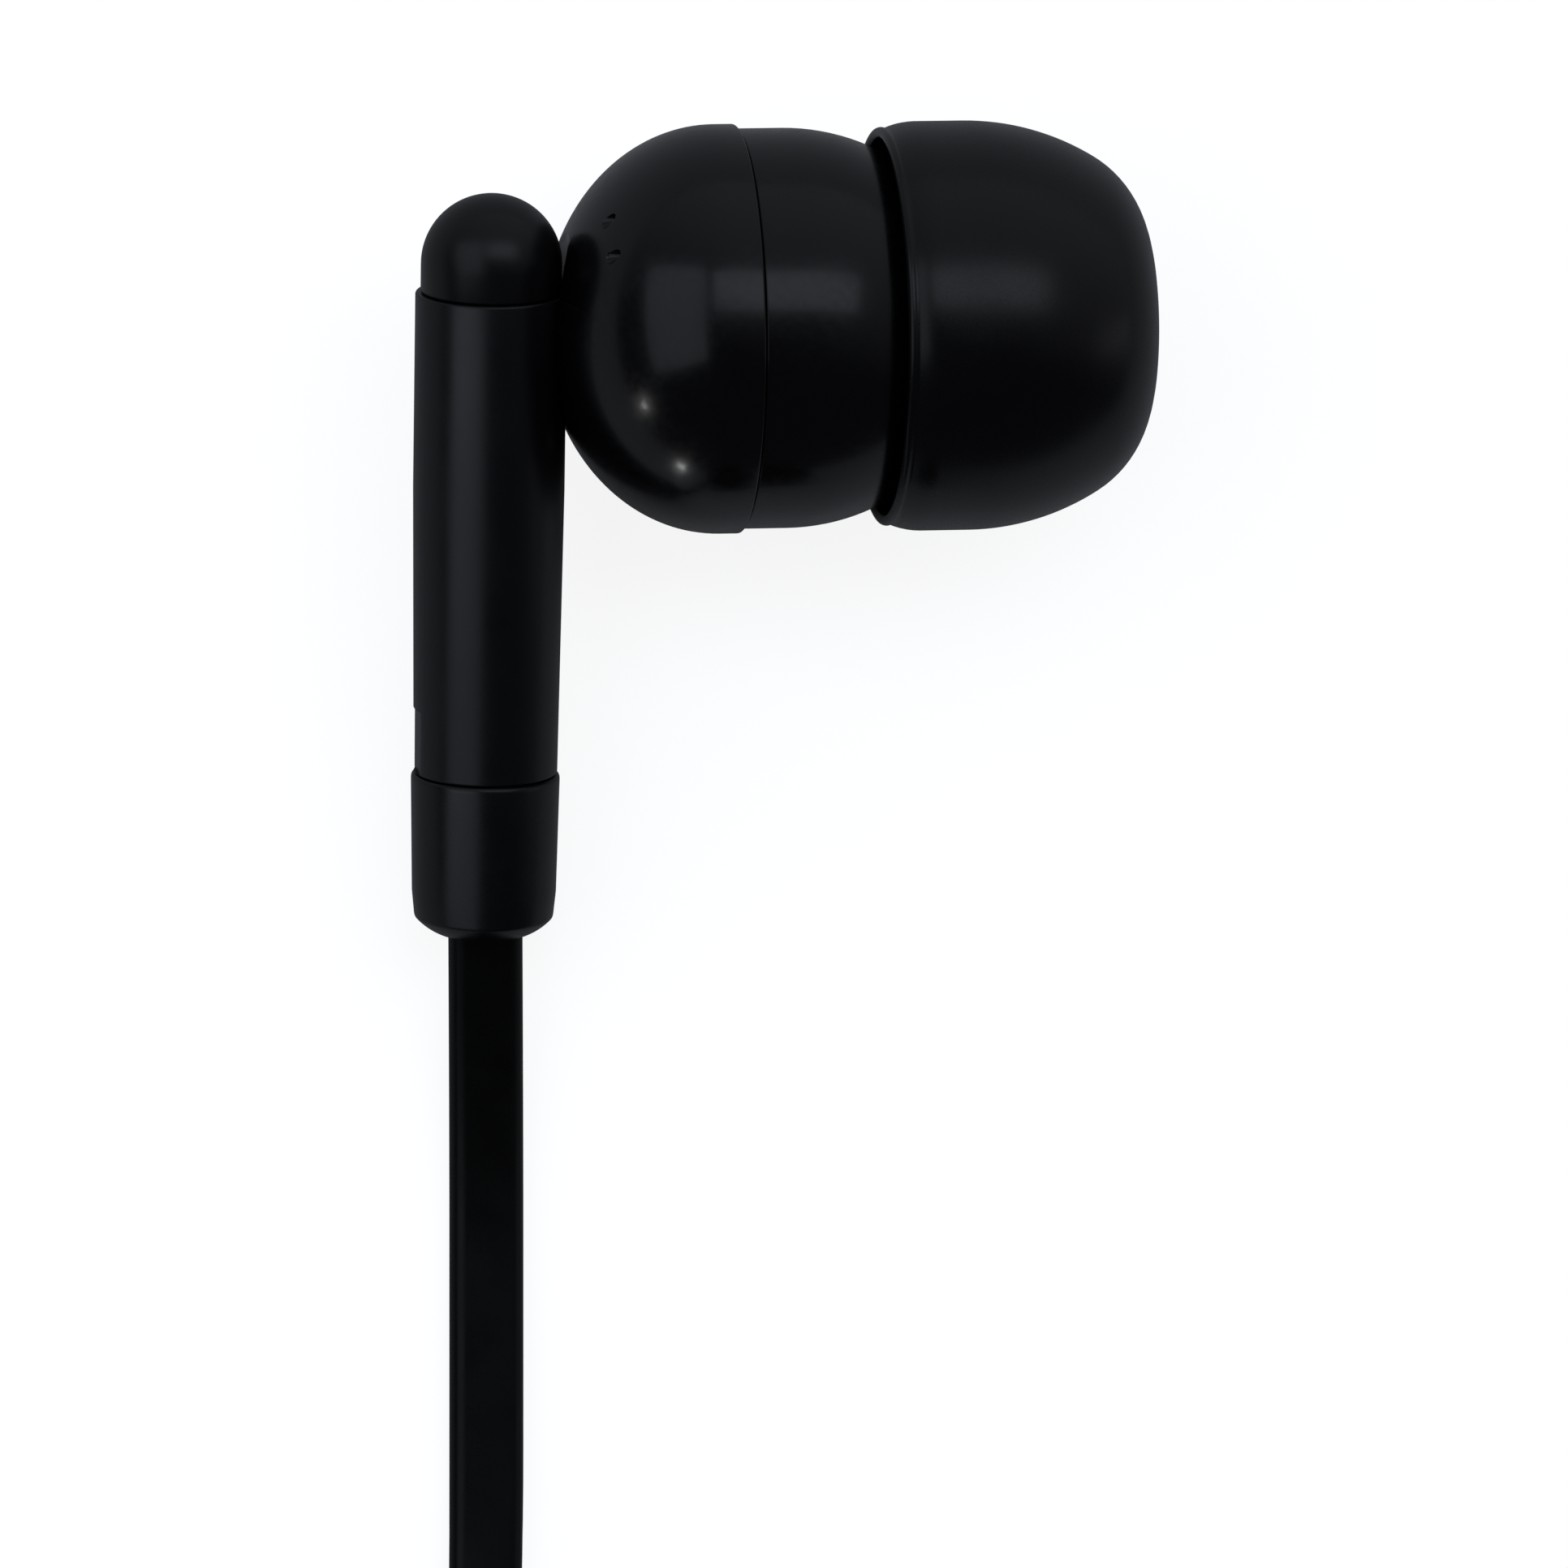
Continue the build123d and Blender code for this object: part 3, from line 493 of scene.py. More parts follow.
@dataclass(frozen=True)
class Housing:
    """The round housing: a domed rear shell and a front shell with the nozzle, turned about X."""

    radius: float = 6.24
    wall: float = 0.79
    dome_centre: float = 6.93
    dome_depth: float = 5.27
    seam: float = 7.55
    front_radius: float = 6.1
    nozzle_radius: float = 2.45
    nozzle_lip: float = 2.75
    nozzle_end: float = 18.3
    screen_radius: float = 2.02
    screen_station: float = 17.97
    screen_wires: int = 13
    screen_wire: float = 0.045
    screen_pitch: float = 0.27
    wire_sides: int = 6
    stem_gap: float = 0.02
    stem_radius: float = 2.31
    vent_radius: float = 0.18
    vent_ring: float = 4.5
    vent_angles: Pair = (30.0, 48.0)

    def rear_shell(self) -> bpy.types.Object:
        """The domed rear shell, cut to sit on the stem and pierced by its two vents."""
        centre = (self.dome_centre, 0.0)
        inner = (self.dome_depth - self.wall, self.radius - self.wall)
        outline = ellipse_arc(centre, (self.dome_depth, self.radius), 180, 90, 40)
        outline += [(self.seam - 0.02, self.radius), (self.seam - 0.02, inner[1])]
        outline += ellipse_arc(centre, inner, 90, 180, 24)
        shell = turned("rear_shell", outline, Along.X, edge=0.07, steps=144)
        tube_end = self.stem_radius + self.stem_gap
        cutters = [turned("stem_cutter", [(-9.0, 0), (-9.0, tube_end), (7.0, tube_end), (7.0, 0)], Along.Y)]
        for angle in self.vent_angles:
            turn = math.radians(angle)
            drill = [(-2.5, 0), (-2.5, self.vent_radius), (0.0, self.vent_radius), (0.12, self.vent_radius * 1.5),
                     (2.5, self.vent_radius * 1.5), (2.5, 0)]
            drill = [(-station, radius) for station, radius in drill]
            cutter = turned("vent_cutter", drill, Along.X, edge=0.0, steps=20)
            depth = self.dome_depth * (1 - math.sqrt(1 - (self.vent_ring / self.radius) ** 2))
            start = self.dome_centre - self.dome_depth + depth
            cutter.data.transform(Matrix.Translation(
                (start, self.vent_ring * math.cos(turn), self.vent_ring * math.sin(turn))
            ))
            cutters.append(cutter)
        cut(shell, cutters)
        return shell

    def front_shell(self) -> bpy.types.Object:
        """The front shell, its spigot, sound chamber and lipped nozzle."""
        spigot = self.radius - self.wall - 0.03
        start, edge = (9.0, self.front_radius), (11.9, 5.42)
        outline = [(self.seam, spigot), (self.seam, self.front_radius), start]
        outline += tangent_arc(start, edge, (1, 0), 10)
        outline += three_point_arc(edge, (12.55, 4.95), (12.8, 4.2), 8)
        root, end = 13.3, self.nozzle_end
        outline += [
            (root, self.nozzle_radius), (end - 1.0, self.nozzle_radius), (end - 0.8, self.nozzle_lip),
            (end - 0.3, self.nozzle_lip), (end, self.nozzle_radius), (end, 2.05), (17.9, 2.05), (17.9, 1.75),
            (root - 1, 1.75), (root - 2, 4.0), (9.9, 4.0), (9.9, 5.0), (6.6, 5.0), (6.6, spigot),
        ]
        return turned("front_shell", outline, Along.X, edge=0.1, steps=144)

    def screen(self) -> bpy.types.Object:
        """The woven screen in the mouth of the nozzle: two sets of waved wires inside a rolled rim."""
        wire, pitch = self.screen_wire, self.screen_pitch
        builder = bmesh.new()
        for crossing in (0, 1):
            for number in range(self.screen_wires):
                offset = (number - (self.screen_wires - 1) / 2) * pitch
                half = math.sqrt(max(self.screen_radius**2 - offset**2, 0.0)) * 0.97
                steps = max(4, round(half / pitch * 4))
                rings = []
                for step in range(steps + 1):
                    reach = -half + 2 * half * step / steps
                    phase = math.pi * (reach / pitch + number + crossing)
                    lift = wire * math.cos(phase) * (1 if crossing else -1)
                    ring = []
                    for corner in range(self.wire_sides):
                        turn = FULL_TURN * corner / self.wire_sides
                        side, rise = wire * math.cos(turn), wire * math.sin(turn) + lift
                        y, z = (reach, offset + side) if crossing else (offset + side, reach)
                        ring.append(builder.verts.new((self.screen_station + rise, y, z)))
                    rings.append(ring)
                skin(builder, rings)
                builder.faces.new(rings[0])
                builder.faces.new(reversed(rings[-1]))
        bmesh.ops.recalc_face_normals(builder, faces=builder.faces)
        piece = built(builder, "nozzle_mesh")
        rim = turned("screen_rim", ellipse_arc((self.screen_station, 1.94), (0.07, 0.08), 0, 330, 11), Along.X,
                     edge=0.0, steps=64)
        join(piece, [rim])
        return piece


def join(piece: bpy.types.Object, others: Sequence[bpy.types.Object]) -> None:
    """Put the meshes of other helpers into a piece and remove the helpers."""
    builder = bmesh.new()
    for source in (piece, *others):
        builder.from_mesh(source.data)
    builder.to_mesh(piece.data)
    builder.free()
    for source in others:
        bpy.data.objects.remove(source)


@dataclass(frozen=True)
class EarTip:
    """The umbrella ear tip: skirt, dome and the sleeve on the nozzle, turned about X."""

    radius: float = 6.25
    wall: float = 0.5
    rear: float = 11.92
    front: float = 20.15
    hole: float = 2.3
    bore: float = 2.8
    sleeve: float = 3.6
    sleeve_rear: float = 13.6

    def build(self) -> bpy.types.Object:
        """The whole tip as one thin-walled turned shape."""
        inner = self.radius - self.wall
        rim, skirt, shoulder, mouth = (12.2, self.radius - 0.2), (14.6, self.radius), (18.57, 5.13), (self.front, 2.75)
        outline = [(12.12, inner)]
        outline += three_point_arc(outline[0], (self.rear, inner + 0.12), rim, 6)
        outline += three_point_arc(rim, (12.58, self.radius - 0.07), (13.1, self.radius), 5)
        outline += [skirt]
        outline += tangent_arc(skirt, shoulder, (1, 0), 16)
        lean = math.asin((shoulder[0] - skirt[0]) / 7.6)
        outline += tangent_arc(shoulder, mouth, (math.cos(lean), -math.sin(lean)), 12)
        outline += three_point_arc(mouth, (self.front - 0.06, 2.42), (self.front - 0.35, self.hole), 5)
        outline += [
            (self.front - 1.0, self.hole), (self.front - 1.0, self.bore), (self.sleeve_rear, self.bore),
            (self.sleeve_rear, self.sleeve), (17.4, self.sleeve),
        ]
        outline += three_point_arc((17.4, self.sleeve), (17.55, 4.4), (16.4, 5.3), 8)
        outline += three_point_arc((16.4, 5.3), (15.2, inner - 0.12), (14.0, inner), 6)
        return turned("ear_tip", outline, Along.X, edge=0.08, steps=160)


@dataclass(frozen=True)
class Stem:
    """The slim stem with its domed cap above and the rubber boot below, turned about Y."""

    top_radius: float = 2.31
    low_radius: float = 2.2
    bore: float = 1.5
    taper_start: float = -4.8
    end: float = -13.7
    cap_seam: float = 1.27
    cap_radius: float = 2.15
    cap_centre: float = 2.13
    cap_wall: float = 0.8
    recess_top: float = -11.67
    recess_depth: float = 0.1
    boot_radius: float = 2.28
    boot_low: float = 2.13
    boot_edge: float = -18.22
    boot_end: float = -18.74
    boot_mouth: float = 1.2

    def shell(self) -> bpy.types.Object:
        """The stem's tube, with the shallow marking recess on the side away from the ear."""
        seam = self.cap_seam - 0.02
        outline = [
            (seam, self.bore), (seam, self.top_radius), (self.taper_start, self.top_radius),
            (self.end, self.low_radius), (self.end, self.bore),
        ]
        tube = turned("stem_shell", outline, Along.Y, edge=0.08)
        face = -self.low_radius + self.recess_depth
        cut(tube, [
            block("recess", (face - 2, self.end + 0.03, -3), (face, self.recess_top, 3)),
            turned("wire_passage", [(0.0, 0), (0.0, 1.0), (4.0, 1.0), (4.0, 0)], Along.X, edge=0.0, steps=48),
        ])
        return tube

    def cap(self) -> bpy.types.Object:
        """The hollow domed cap with its short plug in the stem's bore."""
        inner = self.cap_radius - self.cap_wall
        seam = self.cap_seam
        outline = ellipse_arc((self.cap_centre, 0), (self.cap_radius, self.cap_radius), 0, 90, 24)
        outline += [(seam, self.cap_radius), (seam, self.bore), (seam - 0.2, self.bore), (seam - 0.2, inner)]
        outline += ellipse_arc((self.cap_centre, 0), (inner, inner), 90, 0, 12)
        return turned("stem_cap", outline, Along.Y, edge=0.07)

    def boot(self) -> bpy.types.Object:
        """The tapered boot with a soft lower edge and a mouth that the flat cord comes out of."""
        outline = [
            (-12.2, 0.6), (-12.2, self.bore), (self.end - 0.02, self.bore), (self.end - 0.02, self.boot_radius - 0.08),
            (self.end - 0.12, self.boot_radius), (self.boot_edge + 0.8, self.boot_radius - 0.07),
            (self.boot_edge, self.boot_low),
        ]
        outline += three_point_arc((self.boot_edge, self.boot_low), (-18.52, 1.8), (self.boot_end, 1.4), 8)
        mouth_end = self.boot_end + 0.6
        outline += [(self.boot_end, self.boot_mouth), (mouth_end, self.boot_mouth), (mouth_end, 0.6)]
        return turned("strain_relief", outline, Along.Y, edge=0.09)


@dataclass(frozen=True)
class Earpiece:
    """One earpiece: it places copies of its outer pieces and dresses them."""

    side: Side
    stem_x: float = -9.02
    housing_y: float = 65.0
    housing_z: float = 6.25
    yaw: float = 1.1
    roll: float = 13.231

    def place(self) -> Matrix:
        """From the earpiece's own frame in millimetres to the row frame in metres."""
        half_turn = Matrix.Rotation(math.pi if self.side is Side.RIGHT else 0.0, 4, "Z")
        spot = Matrix.Translation((self.stem_x, self.housing_y, self.housing_z))
        yaw = Matrix.Rotation(math.radians(self.yaw), 4, "Z")
        roll = Matrix.Rotation(math.radians(self.roll), 4, "X")
        return TO_METRES @ half_turn @ spot @ yaw @ roll

    def build(self, shapes: dict[str, bpy.types.Mesh]) -> None:
        """Place a copy of each outer shape, dress it and hide the node it stands for."""
        side = self.side.value
        slots = {
            "ear_tip": "ear_tip_silicone", "front_shell": "shell_gloss", "rear_shell": "shell_gloss",
            "stem_shell": "stem_satin", "stem_cap": "stem_satin", "strain_relief": "boot_rubber",
            "nozzle_mesh": "nozzle_screen",
        }
        for name, shape in shapes.items():
            mesh = shape.copy()
            mesh.transform(self.place())
            piece = new_object(f"{side}_{name}_piece", mesh)
            body = f"{side}_tip" if name == "ear_tip" else "root"
            dress(piece, slots[name], body, f"{side}_{name}")


# Cords


@dataclass(frozen=True)
class Station:
    """A control point of a cord, in millimetres, with its turn about its own line in degrees."""

    x: float
    y: float
    z: float
    turn: float = 0.0


FLAT = 90.0
TURN_SLIP = 0.26
UNEVEN: Point = (0.03, 0.1, 0.04)


def stations(*rows: tuple[float, ...]) -> list[Station]:
    """Control points from their numbers, in a station's order."""
    return [Station(*row) for row in rows]


@dataclass(frozen=True)
class Layer:
    """Waisted turns of one layer of the hank, wound counter-clockwise seen from above."""

    straight: float
    height: float
    lift: float
    pitch: float
    pinch: float = 3.7
    per_turn: int = 22

    def station(self, index: int, reach: float, slip: float) -> Station:
        """One control point of a turn.

        Args:
            index: 0 to 3 down the left side, 4 to 10 round the near end, 11 to 14 up the right, and 15 to 21
                round the far end.
            reach: The end loop's radius at this point.
            slip: How far this turn's end loops have slipped towards the middle.

        Returns:
            The control point.
        """
        index %= self.per_turn
        half = self.per_turn // 2
        sign = -1.0 if index < half else 1.0
        step = index % half
        loop = self.straight - slip
        if step < 4:
            down = 1 - 2 * step / 3
            waist = self.pinch if step in (1, 2) else 0.0
            rise = self.lift if step in (1, 2) else 0.0
            return Station(sign * (reach - waist), -sign * loop * down, self.height + rise)
        angle = math.radians(22.5 * (step - 3))
        wide = reach / math.cos(math.radians(11.25))
        return Station(sign * wide * math.cos(angle), sign * (loop + wide * math.sin(angle)), self.height)

    def turns(self, first: int, last: int, reach: float, draws: random.Random) -> list[Station]:
        """Control points from one station to another, each turn a pitch further out or in.

        Args:
            first: The first station.
            last: The last station, counted on past the first turn.
            reach: The radius at the first station.
            draws: The seeded source of the small unevenness.

        Returns:
            The control points.
        """
        widest = reach if self.pitch < 0 else reach + self.pitch * (last - first) / self.per_turn
        made = []
        for index in range(first, last + 1):
            here = reach + self.pitch * (index - first) / self.per_turn
            spot = self.station(index, here, TURN_SLIP * (widest - here))
            along, across, up = (draws.uniform(-most, most) for most in UNEVEN)
            made.append(Station(spot.x + along, spot.y + across, spot.z + up))
        return made


@dataclass(frozen=True)
class FlatCord:
    """A flat cord's section: its width and its thickness, both in millimetres."""

    width: float
    thickness: float

    def curve(self, name: str, route: Sequence[Station]) -> bpy.types.Object:
        """A NURBS curve through a route, with a flat round-edged section.

        Args:
            name: The piece's name.
            route: Its control points.

        Returns:
            The curve, in metres in the row frame.
        """
        curve = bpy.data.curves.new(name, "CURVE")
        curve.dimensions = "3D"
        curve.twist_mode = "Z_UP"
        curve.bevel_depth = self.thickness / 2 * MM
        curve.extrude = (self.width - self.thickness) / 2 * MM
        curve.bevel_resolution = 3
        curve.resolution_u = 6
        curve.use_fill_caps = True
        spline = curve.splines.new("NURBS")
        spline.points.add(len(route) - 1)
        for point, spot in zip(spline.points, route):
            point.co = (spot.x * MM, spot.y * MM, spot.z * MM, 1.0)
            point.tilt = math.radians(spot.turn)
        spline.order_u = 3
        spline.use_endpoint_u = True
        return new_object(name, curve)


@dataclass(frozen=True)
class CordSet:
    """Both legs and the main cord, wound into one hank round the splitter."""

    leg: FlatCord = FlatCord(2.3, 1.0)
    main: FlatCord = FlatCord(2.8, 1.1)
    left_layer: Layer = Layer(16.4, 1.15, 0.5, -1.05)
    right_layer: Layer = Layer(12.4, 3.45, 0.4, -1.05)
    lower_layer: Layer = Layer(15.9, 6.0, 0.25, 1.15)
    upper_layer: Layer = Layer(15.9, 8.8, 0.0, -1.15)
    left_length: float = 0.376
    right_length: float = 0.371
    main_length: float = 0.86

    def left_route(self, draws: random.Random) -> list[Station]:
        """From the left boot down to the table, along it, round the lowest layer and into the splitter."""
        route = stations(
            (-8.62, 47.1, 2.05, FLAT), (-8.38, 40.547, 0.5, FLAT), (-8.38, 34.3, 0.5, FLAT),
            (-8.38, 27.2, 0.5, FLAT), (-8.62, 21.6, 1.0, 42.0),
        )
        route += self.left_layer.turns(0, 62, 9.0, draws)
        return route + stations(
            (-3.0, 20.9, 1.3), (-4.1, 17.6, 1.5), (-3.1, 13.8, 1.8), (-1.1, 11.1, 2.1), (0.0, 8.9, 2.25),
            (0.0, 6.6, 2.25),
        )

    def right_route(self, draws: random.Random) -> list[Station]:
        """From the right boot down to the table, up on to the first layer, round it and into the splitter."""
        route = stations(
            (8.66, -47.1, 2.05, FLAT), (8.44, -40.547, 0.5, FLAT), (8.44, -34.3, 0.5, FLAT),
            (8.44, -31.0, 0.6, FLAT), (8.46, -26.4, 2.2, 80.0), (8.5, -22.2, 3.45, 60.0),
            (8.8, -17.2, 3.5, 25.0),
        )
        route += self.right_layer.turns(11, 84, 9.0, draws)
        return route + stations(
            (-2.7, 16.4, 3.6), (-3.2, 13.6, 3.9), (-2.0, 11.2, 4.3), (-0.5, 9.3, 4.55), (0.0, 7.9, 4.6),
            (0.0, 6.6, 4.6),
        )

    def main_route(self, draws: random.Random) -> list[Station]:
        """From the splitter out through two layers of turns and over their end into the plug."""
        route = stations(
            (0.0, -6.6, 3.4), (-0.2, -8.6, 3.4), (-1.6, -10.6, 3.45), (-3.7, -12.6, 3.55),
            (-4.4, -15.2, 3.7), (-3.2, -17.7, 3.9), (-0.6, -18.9, 4.2), (2.2, -18.4, 4.6),
            (4.4, -16.6, 5.1), (5.4, -13.6, 5.6),
        )
        route += self.lower_layer.turns(12, 86, 5.85, draws)
        route += self.upper_layer.turns(88 % 22, 88 % 22 + 79, 9.75, draws)
        return route + stations(
            (4.9, 18.9, 10.3), (3.4, 22.0, 11.5), (0.6, 24.0, 12.0), (-2.2, 23.8, 12.5), (-3.9, 21.8, 12.9),
            (-4.0, 19.6, 13.1), (-4.0, 16.8, 13.1),
        )

    def build(self, on_main: Sequence[bpy.types.Object], on_legs: Sequence[bpy.types.Object]) -> None:
        """Args:
            on_main: The pieces that go with the main cord; not used.
            on_legs: The pieces that go with the legs; not used.
        """
        draws = random.Random(7)
        left = self.leg.curve("left_leg_cord_piece", self.left_route(draws))
        right = self.leg.curve("right_leg_cord_piece", self.right_route(draws))
        main = self.main.curve("main_cord_piece", self.main_route(draws))
        dress(left, "cord_jacket", "root", "left_leg_cord", "left_leg_hank")
        dress(right, "cord_jacket", "root", "right_leg_cord", "right_leg_hank")
        dress(main, "cord_jacket", "root", "main_cord_hank", "main_cord_end")


@dataclass(frozen=True)
class Splitter:
    """The two-part moulding where the legs join the main cord, on edge in the middle of the hank."""

    length: float = 14.0
    width: float = 5.6
    thickness: float = 2.9
    edge: float = 0.9
    centre_z: float = 3.4
    seam: float = 0.002
    seam_weight: float = 0.12
    end_weight: float = 0.35

    def half(self, name: str, side: int) -> bpy.types.Object:
        """One half, from a cage whose long outer edges are rounded most."""
        reach = self.thickness / 2
        low, high = sorted((side * self.seam, side * reach))
        piece = block(
            name, (low, -self.length / 2, -self.width / 2), (high, self.length / 2, self.width / 2)
        )
        mesh = piece.data
        weights = mesh.attributes.new("bevel_weight_edge", "FLOAT", "EDGE")
        for edge in mesh.edges:
            ends = [mesh.vertices[vertex].co for vertex in edge.vertices]
            outer = all(abs(end.x) > reach / 2 for end in ends)
            long = abs(ends[0].y - ends[1].y) > self.length / 2
            inner = all(abs(end.x) < reach / 2 for end in ends)
            weights.data[edge.index].value = (
                1.0 if outer and long else self.seam_weight if inner else self.end_weight
            )
        bevel = piece.modifiers.new("edges", "BEVEL")
        bevel.limit_method = "WEIGHT"
        bevel.width = self.edge
        bevel.segments = 5
        settle(piece, TO_METRES @ Matrix.Translation((0, 0, self.centre_z)))
        return piece

    def build(self) -> list[bpy.types.Object]:
        """Both halves, dressed."""
        made = []
        for node, side in (("splitter_front", 1), ("splitter_rear", -1)):
            made.append(dress(self.half(f"{node}_piece", side), "splitter_plastic", "root", node))
        return made


@dataclass(frozen=True)
class Tie:
    """The flat coated wire tie round the hank's waist and the plug's grip, with its twisted tail."""

    half_waist: float = 6.65
    low: float = 0.6
    high: float = 10.2
    grip_x: float = -4.0
    grip_z: float = 13.1
    grip_radius: float = 2.9
    thickness: float = 0.5
    width: float = 3.5
    bend: float = 1.2
    tail_half: Point = (0.34, 0.62, 2.95)
    tail_height: float = 6.6
    tail_twist: float = 900.0

    def path(self) -> list[tuple[Vector, Vector]]:
        """Points round the taut loop with their outward directions, across Y."""
        bend = self.bend
        circles = [
            (Vector((self.half_waist - bend, self.low + bend)), bend),
            (Vector((self.half_waist - bend, self.high - bend)), bend),
            (Vector((self.grip_x, self.grip_z)), self.grip_radius),
            (Vector((-self.half_waist + bend, self.high - bend)), bend),
            (Vector((-self.half_waist + bend, self.low + bend)), bend),
        ]
        spans = []
        for (first, r1), (second, r2) in zip(circles, circles[1:] + circles[:1]):
            run = second - first
            lean = math.asin((r1 - r2) / run.length)
            spans.append(math.atan2(run.y, run.x) - math.pi / 2 + lean)
        made = []
        for number, (centre, radius) in enumerate(circles):
            start, end = spans[number - 1], spans[number]
            while end < start:
                end += FULL_TURN
            steps = max(3, round((end - start) / math.radians(9)))
            for step in range(steps + 1):
                angle = start + (end - start) * step / steps
                out = Vector((math.cos(angle), math.sin(angle)))
                made.append((centre + out * (radius + 0.06), out))
        return made

    def band(self) -> bpy.types.Object:
        """The loop: a flat strip with its wire showing as a ridge along the middle."""
        half = self.width / 2
        section = [(-half, 0.1), (-half + 0.1, self.thickness * 0.55), (-0.45, self.thickness * 0.6),
                   (-0.25, self.thickness - 0.03), (0, self.thickness + 0.02), (0.25, self.thickness - 0.03),
                   (0.45, self.thickness * 0.6), (half - 0.1, self.thickness * 0.55), (half, 0.1),
                   (half - 0.1, 0.0), (-half + 0.1, 0.0)]
        builder = bmesh.new()
        rings = [
            [builder.verts.new((spot.x + out.x * rise, across, spot.y + out.y * rise)) for across, rise in section]
            for spot, out in self.path()
        ]
        skin(builder, rings + rings[:1])
        bmesh.ops.remove_doubles(builder, verts=builder.verts, dist=0.001)
        bmesh.ops.recalc_face_normals(builder, faces=builder.faces)
        return built(builder, "hank_tie_piece")

    def tail(self) -> bpy.types.Object:
        """The two ends twisted together: a ribbed strip with a Simple Deform twist."""
        corner = Vector(self.tail_half)
        strip = block("tail", -corner, corner)
        mesh = strip.data
        builder = bmesh.new()
        builder.from_mesh(mesh)
        upright = [edge for edge in builder.edges if abs(edge.verts[0].co.z - edge.verts[1].co.z) > 1]
        bmesh.ops.subdivide_edges(builder, edges=upright, cuts=40, use_grid_fill=True)
        builder.to_mesh(mesh)
        builder.free()
        bevel = strip.modifiers.new("edges", "BEVEL")
        bevel.width = 0.12
        bevel.segments = 2
        twist = strip.modifiers.new("twist", "SIMPLE_DEFORM")
        twist.deform_method = "TWIST"
        twist.deform_axis = "Z"
        twist.angle = math.radians(self.tail_twist)
        settle(strip, Matrix.Translation((self.half_waist + 1.1, 0.0, self.tail_height)))
        return strip

    def build(self) -> bpy.types.Object:
        """The band and its tail as one dressed piece."""
        band = self.band()
        join(band, [self.tail()])
        band.data.transform(TO_METRES)
        return dress(band, "tie_plastic", "root", "hank_tie")


@dataclass(frozen=True)
class Plug:
    """The 3.5 mm stereo plug that points to -Y on top of the hank, turned about Y."""

    x: float = -4.0
    z: float = 13.1
    face_y: float = -6.0
    radius: float = 1.75
    gaps: tuple[float, float, float, float] = (5.9, 6.6, 8.9, 9.6)
    barrel_end: float = 10.4
    length: float = 14.0
    grip_radius: float = 2.9
    grip_length: float = 15.0
    relief_length: float = 9.0
    relief_radius: float = 2.28
    grooves: int = 7
    ribs: int = 6

    def place(self) -> Matrix:
        """From distances along the pin to the row frame: the pin's own axis points to -Y."""
        return TO_METRES @ Matrix.Translation((self.x, self.face_y, self.z)) @ Matrix.Rotation(math.pi, 4, "Z")

    def outlines(self) -> dict[str, tuple[str, list[Pair]]]:
        """Each turned piece's slot and its outline, as (distance along the pin, radius)."""
        sleeve_end, ring_start, ring_end, tip_start = self.gaps
        full, neck = self.radius, self.radius - 0.05
        tip = [(-4.0, 0), (-4.0, 0.45), (tip_start, 0.45), (tip_start, full), (self.barrel_end - 0.05, full)]
        tip += three_point_arc((self.barrel_end, full - 0.05), (11.1, 1.24), (11.5, 1.15), 6)
        tip += three_point_arc((11.5, 1.15), (12.0, 1.27), (12.5, 1.58), 6)
        tip += three_point_arc((12.5, 1.58), (13.4, 1.12), (self.length - 0.06, 0.42), 8)
        tip += [(self.length, 0)]
        grip = [(0.0, self.radius), (0.0, self.grip_radius - 0.5)]
        grip += three_point_arc(grip[1], (-0.17, self.grip_radius - 0.16), (-0.6, self.grip_radius), 5)
        for groove in range(self.grooves):
            at, floor = -3.2 - 1.15 * groove, self.grip_radius - 0.16
            grip += [(at, self.grip_radius), (at - 0.12, floor), (at - 0.33, floor), (at - 0.45, self.grip_radius)]
        back = -self.grip_length
        grip += three_point_arc((back + 0.6, self.grip_radius), (back + 0.17, self.grip_radius - 0.17),
                                (back, self.grip_radius - 0.6), 5)
        grip += [(back, 0.9), (back + 1.0, 0.9), (back + 1.0, 2.1), (-2.0, 2.1), (-2.0, 1.5), (-0.02, 1.5)]
        start, end = back, back - self.relief_length
        relief = [(start, 0.7), (start, self.relief_radius)]
        for rib in range(self.ribs):
            at = start - 0.9 - 1.35 * rib
            here = self.relief_radius - 0.55 * (start - at) / self.relief_length
            relief += [(at, here), (at - 0.12, here - 0.42), (at - 0.45, here - 0.44), (at - 0.57, here - 0.03)]
        relief += [(end, 1.72), (end, 0.7)]
        return {
            "plug_tip": ("plug_metal", tip),
            "plug_ring": ("plug_metal", [(ring_start, 0.75), (ring_start, full), (ring_end, full), (ring_end, 0.75)]),
            "plug_sleeve": ("plug_metal", [(0.0, 1.3), (0.0, full), (sleeve_end, full), (sleeve_end, 1.3)]),
            "plug_inner_insulator": (
                "plug_insulator", [(ring_end, 0.45), (ring_end, neck), (tip_start, neck), (tip_start, 0.45)]),
            "plug_outer_insulator": (
                "plug_insulator", [(sleeve_end, 1.0), (sleeve_end, neck), (ring_start, neck), (ring_start, 1.0)]),
            "plug_grip": ("plug_grip_plastic", grip),
            "plug_strain_relief": ("boot_rubber", relief),
        }

    def build(self) -> list[bpy.types.Object]:
        """Every outer piece of the plug, dressed."""
        made = []
        for node, (slot, outline) in self.outlines().items():
            piece = turned(f"{node}_piece", outline, Along.Y, edge=0.05, steps=96)
            piece.data.transform(self.place())
            made.append(dress(piece, slot, "root", node))
        return made


# Studio


